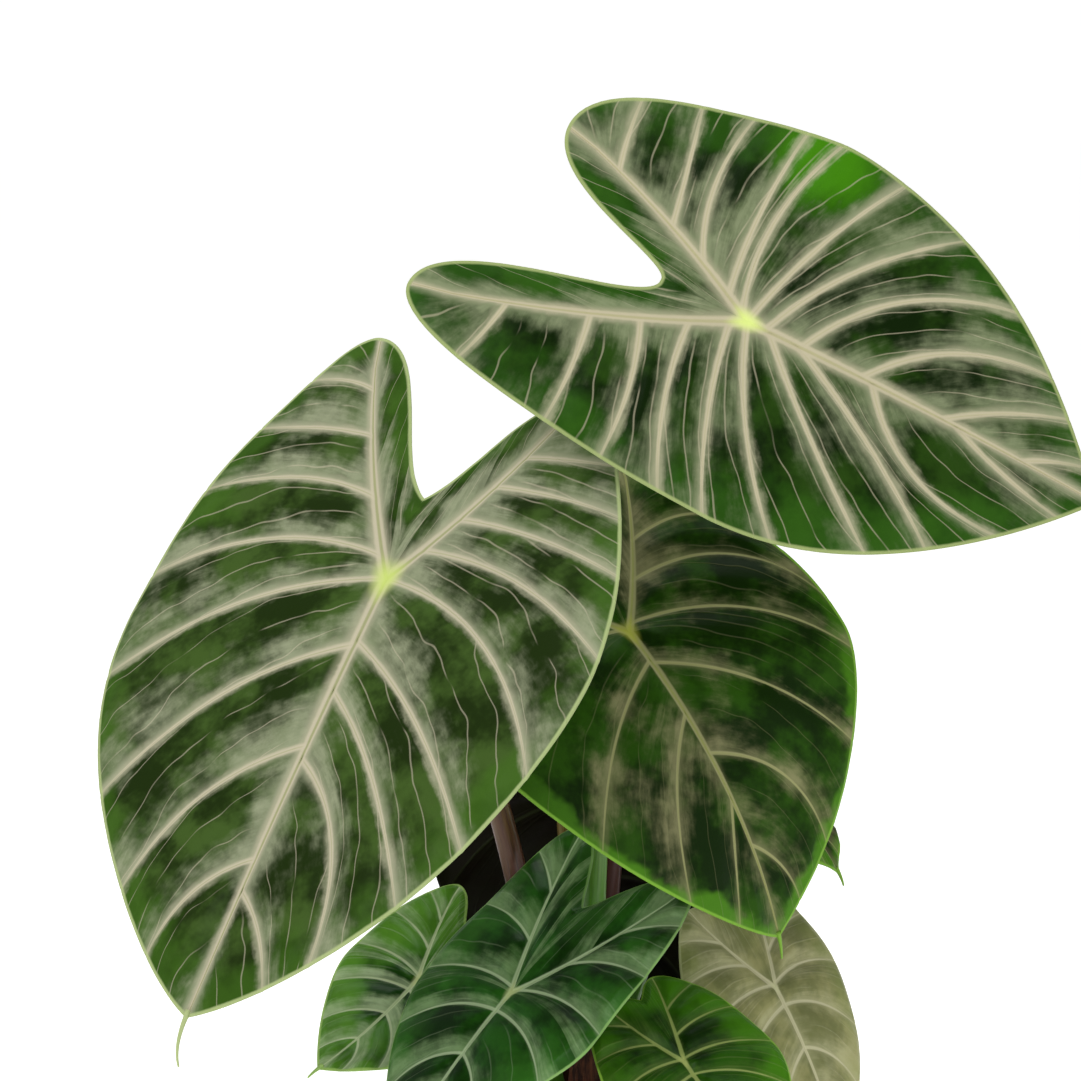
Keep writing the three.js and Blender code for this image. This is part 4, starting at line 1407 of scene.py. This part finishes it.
def leaves() -> list[Leaf]:
    """List the nine leaves, the three large ones first.

    Returns:
        The leaves, with their places in millimetres and their turns in degrees.
    """
    return [
        Leaf(
            Blade(
                "left_large", SILVER, (-85, -62, 400), 141, 51, -3, 195, 0.4, 0.11, -0.04, 20, 55,
                Half(0.28, 0.48, 0.62, 0.16, midrib(
                    (0.73, 2.78, -0.1), (0.43, 2.68, -0.2), (0.27, 2.5, -0.08), (0.15, 2.36, -0.08),
                    (0.0, 2.2, -0.17),
                ) + costa((0.2, 1.92, -0.11), (0.41, 1.7, -0.05), (0.62, 1.55, -0.04), (0.8, 1.4, -0.03))),
                Half(0.31, 0.57, 0.61, 0.2, midrib(
                    (0.66, 2.78, -0.19), (0.4, 2.62, -0.17), (0.16, 2.42, -0.14), (0.0, 2.16, -0.13),
                ) + costa((0.11, 1.9, -0.15), (0.39, 1.68, -0.13), (0.68, 1.5, -0.05), (0.9, 1.33, -0.1))),
                sinus_open=60, sinus_hold=0.33, tip_angle=73, tip_hold=0.28, lobe_in_hold=0.49,
                widest_back_hold=0.38, columns=16, rows=76,
            ),
            Petiole("left_large", MAHOGANY, (-8, 4), (-26, 36, 120), 80, 5.8, 3.6),
        ),
        Leaf(
            Blade(
                "upper_right_large", CREAM, (61, -84, 508), -98, 25, 68.5, 159, 1.4, 0.11, -0.03, 11, 35,
                Half(0.25, 0.62, 0.51, 0.03, midrib(
                    (0.78, 2.8, -0.05), (0.55, 2.66, -0.06), (0.32, 2.56, -0.17), (0.15, 2.42, -0.18),
                    (0.05, 2.26, -0.1), (0.0, 2.12, -0.06),
                ) + costa(
                    (0.04, 1.96, -0.14), (0.14, 1.76, -0.06), (0.32, 1.6, -0.14), (0.53, 1.46, 0.01),
                    (0.86, 1.3, -0.04),
                )),
                Half(0.29, 0.8, 0.505, 0.13, midrib(
                    (0.59, 2.76, -0.05), (0.35, 2.58, -0.2), (0.14, 2.42, 0.04), (0.06, 2.3, -0.03),
                    (0.0, 2.12, -0.08),
                ) + costa(
                    (0.06, 1.92, -0.06), (0.2, 1.76, -0.08), (0.37, 1.62, 0.08), (0.54, 1.5, 0.05),
                    (0.82, 1.3, 0.04),
                )),
                sinus=0.24, sinus_open=100, sinus_hold=0.15, tip_angle=48, tip_hold=0.05, lobe_in_hold=0.62,
                lobe_out_hold=0.8, widest_back_hold=0.02, widest_tip_hold=0.52, seed=2.4, vein_width=0.009,
                columns=13, rows=70,
            ),
            Petiole("upper_right_large", MAHOGANY, (5, 7), (4, 75, 240), 165, 6.2, 3.6),
        ),
        Leaf(
            Blade(
                "right_middle", OLIVE, (17, -32, 371), -129, 41.5, 26.5, 152, 6.1, 0.07, 0.03, 12, 15,
                Half(0.32, 0.48, 0.56, 0.29, midrib(
                    (0.7, 2.8, -0.14), (0.41, 2.62, -0.24), (0.11, 2.36, -0.12),
                ) + costa((0.06, 2.1, -0.17), (0.33, 1.92, -0.28), (0.59, 1.73, -0.34))),
                Half(0.28, 0.52, 0.61, 0.09, midrib(
                    (0.55, 2.78, -0.03), (0.28, 2.62, -0.13), (0.1, 2.38, -0.1),
                ) + USUAL_COSTA),
                tip_angle=58, widest_tip_hold=0.31, seed=3.1, pillow=0.013, columns=18, rows=66,
                vein_width=0.0055, rib_width=0.013,
            ),
            Petiole("right_middle", GREEN_STEM, (2, -8), (0, 24, 100), 70, 5.6, 3.4),
        ),
        Leaf(
            Blade(
                "front_centre", SHEEN, (-34, -46, 215), 116, 43.5, -15.5, 97, 3.1, 0.05, -0.06, 8, 30,
                Half(0.4, 0.85, 0.56, -0.05), Half(0.31, 0.8, 0.5, 0.2), sinus=0.5, tip_angle=72,
                tip_hold=0.05, lobe_out_hold=0.8, widest_back_hold=0.35, widest_tip_hold=0.26, seed=4.2,
                pillow=0.03, rows=50, columns=12, thickness=0.6, rib_width=0.014, vein_width=0.0075,
            ),
            Petiole("front_centre", GREEN_STEM, (-11, -9), (-2, 0, 32), 26, 4, 2.6),
        ),
        Leaf(
            Blade(
                "lower_left_small", YOUNG, (-76.5, 9, 201.5), 128, 36, -24, 65, -6.6, 0.1, -0.04, 6, 25,
                Half(0.2, 0.7, 0.57, 0.26), Half(0.25, 0.74, 0.55, 0.1), sinus=0.52, tip_angle=50, seed=5.5,
                pillow=0.04, rows=42, columns=10, thickness=0.6, rib_width=0.018, vein_width=0.01,
            ),
            Petiole("lower_left_small", GREEN_STEM, (-18, 0), (-8, 3, 34), 24, 3.5, 2.3),
        ),
        Leaf(
            Blade(
                "lower_right_bright", BRIGHT, (40, -67, 192), -143.5, 32, 12, 70.5, 0.5, 0.1, -0.04, 7, 40,
                Half(0.16, 0.62, 0.57, 0.17), Half(0.24, 0.59, 0.58, 0.15), sinus=0.5, tip_angle=67,
                tip_hold=0.19, seed=6.3, pillow=0.035, rows=44, columns=10, thickness=0.6, rib_width=0.017,
                vein_width=0.009,
            ),
            Petiole("lower_right_bright", GREEN_STEM, (12, -12), (3, -6, 26), 20, 3.5, 2.4),
        ),
        Leaf(
            Blade(
                "lower_right_pale", PALE, (85, 2, 200), -120.5, 57, 13, 88, 4.1, -0.03, -0.07, 8, 15,
                Half(0.21, 0.59, 0.52, 0.1), Half(0.28, 0.56, 0.61, 0.11), sinus=0.5, widest_back_hold=0.49,
                seed=7.7, pillow=0.025, rows=46, columns=10, thickness=0.6, rib_width=0.016, vein_width=0.009,
            ),
            Petiole("lower_right_pale", GREEN_STEM, (16, 1), (8, 8, 40), 26, 4, 2.6),
        ),
        Leaf(
            Blade(
                "back_small", OLIVE, (82, 40, 296), -112, 50, 6, 62, 2.5, 0.08, -0.04, 6, 20,
                Half(0.25, 0.55, 0.56, 0.15), Half(0.27, 0.56, 0.57, 0.15), seed=8.1, pillow=0.03, rows=40,
                columns=9, thickness=0.6, wave=0.03, wave_count=6.0, rib_width=0.016, vein_width=0.009,
            ),
            Petiole("back_small", GREEN_STEM, (9, 18), (8, 14, 60), 32, 3.4, 2.2),
        ),
        # A dark leaf set behind the stems, whose near-black skin is painted shade filling the gaps between
        # the front leaves.
        Leaf(
            Blade(
                "back_shaded", SHADED, (-10, 64, 268), -90, 65, -90, 115, 1, 0.08, -0.04, 5, 20,
                Half(0.3, 0.5, 0.62, 0.2), Half(0.3, 0.5, 0.62, 0.2), seed=9.4, pillow=0.02, rows=46,
                columns=12, thickness=0.6, wave=0.012, rib_width=0.015, vein_width=0.008,
            ),
            Petiole("back_shaded", MAHOGANY, (-3, 20), (-3, 22, 70), 24, 3.6, 2.6),
        ),
    ]


# ---------------------------------------------------------------- corm, sheaths, soil, pot


@dataclass
class Corm:
    """The ringed brown dome that carries the stems."""

    radius: float = 27.0
    height: float = 15.0
    foot: float = 132.3
    rings: int = 7
    sides: int = 120
    steps: int = 60

    def build(self) -> bpy.types.Object:
        """Turn the dome with its leaf scars and a slightly lumpy skin.

        Returns:
            The corm's object.
        """
        profile = [(0.0, self.foot), (self.radius * 0.96, self.foot)]
        for i in range(1, self.steps):
            turn = math.pi / 2 * i / self.steps
            scar = 0.55 * abs(math.sin(self.rings * turn * 2))
            level = self.foot + (self.height - scar) * math.sin(turn)
            profile.append(((self.radius - scar) * math.cos(turn), level))
        profile.append((0.0, self.foot + self.height))
        points, faces = turned(profile, self.sides)
        lump = ripple(points, 1.7, 16.0)[:, None] * np.array([0.7, 0.7, 0.5])
        raised = np.clip((points[:, 2:3] - self.foot) / 3, 0, 1)
        points = points + points / 40 * lump * raised * np.array([1, 1, 0.2])
        return mesh_object("corm_dome", points * MM, faces)


@dataclass
class Sheath:
    """A dry leaf base standing at the corm's side."""

    name: str
    angle: float
    half_angle: float
    height: float
    lean: float
    foot: float = 132.4
    radius: float = 28.2
    thickness: float = 0.8
    tip_half_angle: float = 3.0
    columns: int = 26
    rows: int = 60

    def build(self) -> bpy.types.Object:
        """Shape the curved, pointed, slightly torn sheath.

        Returns:
            The sheath's object.
        """
        rings = []
        across = np.linspace(-1, 1, self.columns)
        for i in range(self.rows + 1):
            up = i / self.rows
            spread = math.radians(self.half_angle + (self.tip_half_angle - self.half_angle) * up**1.6)
            spread *= 1 + 0.05 * math.sin(up * 23 + self.angle)
            turn = math.radians(self.angle) + spread * across
            crease = 0.25 * np.cos(across * 19) + 0.8 * up * across**2
            base = self.radius + self.lean * up * up + crease
            z = np.full(self.columns, self.foot + self.height * up * 0.99)
            z += 1.5 * up * np.sin(across * 9 + self.angle)
            skin = base + self.thickness
            outer = np.column_stack([skin * np.cos(turn), skin * np.sin(turn), z])
            inner = np.column_stack([base * np.cos(turn), base * np.sin(turn), z])
            rings.append(np.vstack([outer, inner[::-1]]))
        faces = ring_faces(self.rows + 1, 2 * self.columns)
        return mesh_object(f"{self.name}_paper", np.vstack(rings) * MM, faces)


class ScatterTree(NodeTree):
    """Scatters lumpy grains over a surface."""

    PLACE_SEED = 11
    TURN_SEED = 3
    SIZE_SEED = 5
    BREADTH = 0.62
    LUMP_SCALE = 420.0

    def __init__(self, material: bpy.types.Material, detail: int) -> None:
        """Wire the tree: points, grain, scatter, material.

        Args:
            material: the grains' material.
            detail: the subdivisions of one grain.
        """
        super().__init__(f"{material.name}_tree")
        w = self.wiring
        density, size = self.input("Grains per square metre"), self.input("Grain radius")
        flat = self.input("Flatness")
        spread = w.fitted(
            "GeometryNodeDistributePointsOnFaces",
            {"Mesh": self.entry.outputs[0], "Density": density, "Seed": self.PLACE_SEED},
            distribute_method="RANDOM",
        )
        ball = w.fitted("GeometryNodeMeshIcoSphere", {"Subdivisions": detail, "Radius": size})
        place = w.node("GeometryNodeInputPosition").outputs[0]
        squash = w.vector(1.0, self.BREADTH, flat)
        shape = w.fitted("ShaderNodeVectorMath", {0: place, 1: squash}, operation="MULTIPLY")
        feeds = {"Geometry": ball.outputs[0], "Position": shape.outputs[0]}
        grain = w.fitted("GeometryNodeSetPosition", feeds)
        put = w.fitted("GeometryNodeInstanceOnPoints", {
            "Points": spread.outputs["Points"], "Instance": grain.outputs[0],
            "Rotation": self.drawn((-0.7, -0.7, -3.1), (0.7, 0.7, 3.1), self.TURN_SEED),
            "Scale": self.drawn((0.45, 0.5, 0.5), (1.5, 1.3, 1.4), self.SIZE_SEED),
        })
        real = w.fitted("GeometryNodeRealizeInstances", {0: put.outputs[0]})
        place = w.node("GeometryNodeInputPosition").outputs[0]
        rough = w.fitted("ShaderNodeTexNoise", {"Vector": place, "Scale": self.LUMP_SCALE}).outputs["Fac"]
        moved = self.pushed(real.outputs[0], w.times(w.minus(rough, 0.5), size))
        self.close(moved, material)

    def drawn(self, low: Triple, high: Triple, seed: int) -> bpy.types.NodeSocket:
        """Draw a fixed random vector for each grain.

        Args:
            low: the least value of each part.
            high: the greatest value of each part.
            seed: the draw's seed.

        Returns:
            The vector's socket.
        """
        made = self.wiring.fitted(
            "FunctionNodeRandomValue", {0: low, 1: high, "Seed": seed}, data_type="FLOAT_VECTOR",
        )
        return made.outputs[0]


@dataclass
class Soil:
    """The potting mix: a crumbly body, bark chips and perlite on top."""

    top: float = 132.0
    edge_sink: float = 4.0
    flat_radius: float = 34.0
    floor: float = 8.3
    chamfer: float = 3.0
    sides: int = 160
    foot_radius: float = 58.0
    rim_radius: float = 81.0
    wall: float = 5.3
    pot_height: float = 150.0
    corm_reach: float = 28.5
    wall_gap: float = 4.5

    def radius(self, z: float) -> float:
        """The soil's radius against the pot's wall at a height."""
        return self.foot_radius + (self.rim_radius - self.foot_radius) * z / self.pot_height - self.wall

    def surface_height(self, r: float) -> float:
        """Find the mean height of the soil.

        Args:
            r: the distance from the axis.

        Returns:
            The height in millimetres.
        """
        edge = self.top - self.edge_sink
        out = max(0.0, (r - self.flat_radius) / (self.radius(edge) - self.flat_radius))
        return self.top - self.edge_sink * out**1.5

    def build(self) -> bpy.types.Object:
        """Turn the soil body and crumble its top.

        Returns:
            The soil's object.
        """
        edge = self.top - self.edge_sink
        wide = self.radius(edge)
        profile = [(0.0, self.floor), (self.radius(self.floor) - self.chamfer, self.floor)]
        profile += [(self.radius(self.floor + self.chamfer), self.floor + self.chamfer), (wide, edge)]
        count = 56
        radii = [wide * (1 - i / count) for i in range(1, count)]
        profile += [(r, self.surface_height(r)) for r in radii]
        profile.append((0.0, self.top))
        points, faces = turned(profile, self.sides)
        on_top = (points[:, 2] > edge - 0.5) & (np.hypot(points[:, 0], points[:, 1]) < wide - 0.5)
        crumb = ripple(points, 4.4, 9.0) * 1.1 + ripple(points, 2.2, 31.0) * 0.8
        points[:, 2] += np.where(on_top, crumb - 0.9, 0.0)
        return mesh_object("soil_body", points * MM, faces)

    def top_patch(self) -> bpy.types.Mesh:
        """Lay the soil's top between the corm and the wall, as a surface for scattering.

        Returns:
            The surface's mesh.
        """
        sides, count = 72, 12
        radii = np.linspace(self.corm_reach, self.radius(self.top) - self.wall_gap, count)
        turns = np.arange(sides) * 2 * math.pi / sides
        rows, faces = [], []
        for r in radii:
            level = np.full(sides, self.surface_height(r) - 0.4)
            rows.append(np.column_stack([r * np.cos(turns), r * np.sin(turns), level]))
        for i in range(count - 1):
            low, high = i * sides, (i + 1) * sides
            for j in range(sides):
                k = (j + 1) % sides
                faces.append((low + j, high + j, high + k, low + k))
        mesh = bpy.data.meshes.new("soil_top_patch")
        mesh.from_pydata([tuple(p) for p in (np.vstack(rows) * MM).tolist()], [], faces)
        return mesh

    def dressed(self) -> None:
        """Build the body and both scatters and put them in the frame."""
        dress(self.build(), SOIL.material(), "soil", "potting_soil")
        sizes = ((BARK, "bark_chips", 52000.0, 2.3, 0.34), (PERLITE, "perlite_grains", 9000.0, 1.25, 0.85))
        for finish, name, density, radius, flat in sizes:
            tree = ScatterTree(finish.material(), 2)
            values = {"Grains per square metre": density, "Grain radius": radius * MM, "Flatness": flat}
            grains = tree.run(name, values, self.top_patch())
            dress(grains, grains.data.materials[0], finish.slot)


@dataclass
class Pot:
    """The plain tapered pot with a band round its rim."""

    height: float = 150.0
    rim_radius: float = 81.0
    foot_radius: float = 58.0
    wall: float = 5.0
    floor: float = 8.0
    band_height: float = 20.0
    band_step: float = 3.0
    lip: float = 2.2
    foot_round: float = 2.5
    fillet: float = 3.0
    sides: int = 200

    def radius(self, z: float) -> float:
        """The outer radius at a height, without the band."""
        return self.foot_radius + (self.rim_radius - self.foot_radius) * z / self.height

    def build(self) -> bpy.types.Object:
        """Turn the pot with a rounded foot, band and lip.

        Returns:
            The pot's object.
        """
        band = self.height - self.band_height
        rim = self.rim_radius + self.band_step
        inside = self.rim_radius - self.wall
        lip, foot = self.lip, self.foot_round
        profile = [(0.0, 0.0), (self.foot_radius * 0.5, 0.0)]
        profile += arc((self.radius(foot) - foot, foot), foot, -90, -6, 6)
        profile += [(self.radius(z), z) for z in np.linspace(foot + 4, band - 1.4, 30)]
        profile += arc((self.radius(band) + 1.3, band - 0.2), 1.3, 180, 100, 4)
        profile += arc((self.radius(band) + self.band_step - 1.3, band + 1.4), 1.3, -80, -6, 4)
        face = np.linspace(band + 3, self.height - lip - 1, 6)
        profile += [(self.radius(z) + self.band_step, z) for z in face]
        profile += arc((rim - lip - 0.3, self.height - lip), lip, -4, 90, 7)
        profile += arc((inside + lip, self.height - lip), lip, 90, 176, 7)
        down = np.linspace(self.height - lip - 4, self.floor + self.fillet + 1, 30)
        profile += [(self.radius(z) - self.wall, z) for z in down]
        corner = (self.radius(self.floor) - self.wall - self.fillet + 0.5, self.floor + self.fillet)
        profile += arc(corner, self.fillet, 0, -90, 5)
        profile += [(self.foot_radius * 0.4, self.floor), (0.0, self.floor)]
        points, faces = turned(profile, self.sides)
        return mesh_object("stoneware_pot", points * MM, faces)


# ---------------------------------------------------------------- stage


@dataclass
class Stage:
    """The pale floor, the soft lights and the camera."""

    target: Triple = (-21.0, -40.0, 412.0)
    distance: float = 1072.0
    tilt: float = 10.0
    lens: float = 85.0
    sensor: float = 36.0
    floor_reach: float = 30.0
    floor_glow: float = 0.63
    sky_light: float = 0.42
    sky_seen: float = 0.6
    aim: Triple = (0.0, 0.0, 0.38)
    lamps: tuple[tuple[str, Triple, float, float], ...] = (
        ("key", (-1.1, -1.5, 1.9), 26.0, 1.1),
        ("fill", (1.6, -1.4, 1.0), 7.0, 1.6),
        ("top", (0.1, 0.3, 2.2), 14.0, 1.2),
    )

    def floor(self) -> None:
        """Lay a wide pale floor."""
        size = self.floor_reach
        corners = np.array([[-size, -size, 0], [size, -size, 0], [size, size, 0], [-size, size, 0]])
        plane = mesh_object("floor", corners, [(0, 1, 2, 3)])
        made, w = blank_material("pale_floor")
        shader = w.finish(linear("#f4f4f2"), 0.9, w.relief(w.noise(w.place(), 3.0), 0.02, 0.001), 0.0, 0.3)
        shader.inputs["Emission Color"].default_value = (1, 1, 1, 1)
        shader.inputs["Emission Strength"].default_value = self.floor_glow
        plane.data.materials.append(made)

    def sky(self) -> None:
        """Surround the scene with even white light, dimmer on the plant than to the eye."""
        world = bpy.data.worlds.new("studio_white")
        world.use_nodes = True
        world.node_tree.nodes.clear()
        w = Wiring(world.node_tree)
        seen = w.node("ShaderNodeLightPath").outputs["Is Camera Ray"]
        glow = w.node("ShaderNodeBackground")
        glow.inputs[0].default_value = (1, 1, 1, 1)
        w.feed(glow.inputs[1], w.plus(self.sky_light, w.times(seen, self.sky_seen)))
        out = w.node("ShaderNodeOutputWorld")
        w.feed(out.inputs[0], glow.outputs[0])
        bpy.context.scene.world = world

    def lamp(self, name: str, place: Triple, power: float, size: float) -> None:
        """Hang a soft square light that looks at the plant.

        Args:
            name: the light's name.
            place: where it hangs, in metres.
            power: its strength in watts.
            size: its side in metres.
        """
        data = bpy.data.lights.new(name, "AREA")
        data.energy, data.size = power, size
        lamp = bpy.data.objects.new(name, data)
        lamp.location = place
        lamp.rotation_euler = (Vector(self.aim) - Vector(place)).to_track_quat("-Z", "Y").to_euler()
        bpy.context.scene.collection.objects.link(lamp)

    def camera(self) -> None:
        """Place the camera in front, looking slightly down."""
        tilt = math.radians(self.tilt)
        data = bpy.data.cameras.new("camera")
        data.lens, data.sensor_width = self.lens, self.sensor
        camera = bpy.data.objects.new("camera", data)
        away = Vector((0, -math.cos(tilt), math.sin(tilt))) * self.distance
        camera.location = (Vector(self.target) + away) * MM
        camera.rotation_euler = Euler((math.pi / 2 - tilt, 0, 0))
        bpy.context.scene.collection.objects.link(camera)
        bpy.context.scene.camera = camera

    def build(self) -> None:
        """Set up the whole stage."""
        view = bpy.context.scene.view_settings
        view.view_transform, view.look = "Standard", "None"
        self.floor()
        self.sky()
        for name, place, power, size in self.lamps:
            self.lamp(name, place, power, size)
        self.camera()


def main() -> None:
    """Build the plant over its frame."""
    logging.basicConfig(level=logging.INFO, format="%(name)s: %(message)s")
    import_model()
    trees: dict[str, StemTree] = {}
    skins: dict[str, bpy.types.Material] = {}
    for leaf in leaves():
        leaf.dressed(trees, skins)
    dress(Corm().build(), CORM.material(), CORM.slot, "corm")
    papery = SHEATH.material()
    for sheath in (
        Sheath("dry_sheath_front", 268, 24, 62, 5),
        Sheath("dry_sheath_right", 334, 13, 52, 7),
        Sheath("dry_sheath_back_left", 131, 24, 78, 7),
    ):
        dress(sheath.build(), papery, SHEATH.slot, sheath.name)
    Soil().dressed()
    glaze = StonewareFinish()
    dress(Pot().build(), glaze.material(), glaze.slot, "pot")
    Stage().build()


if __name__ == "__main__":
    main()
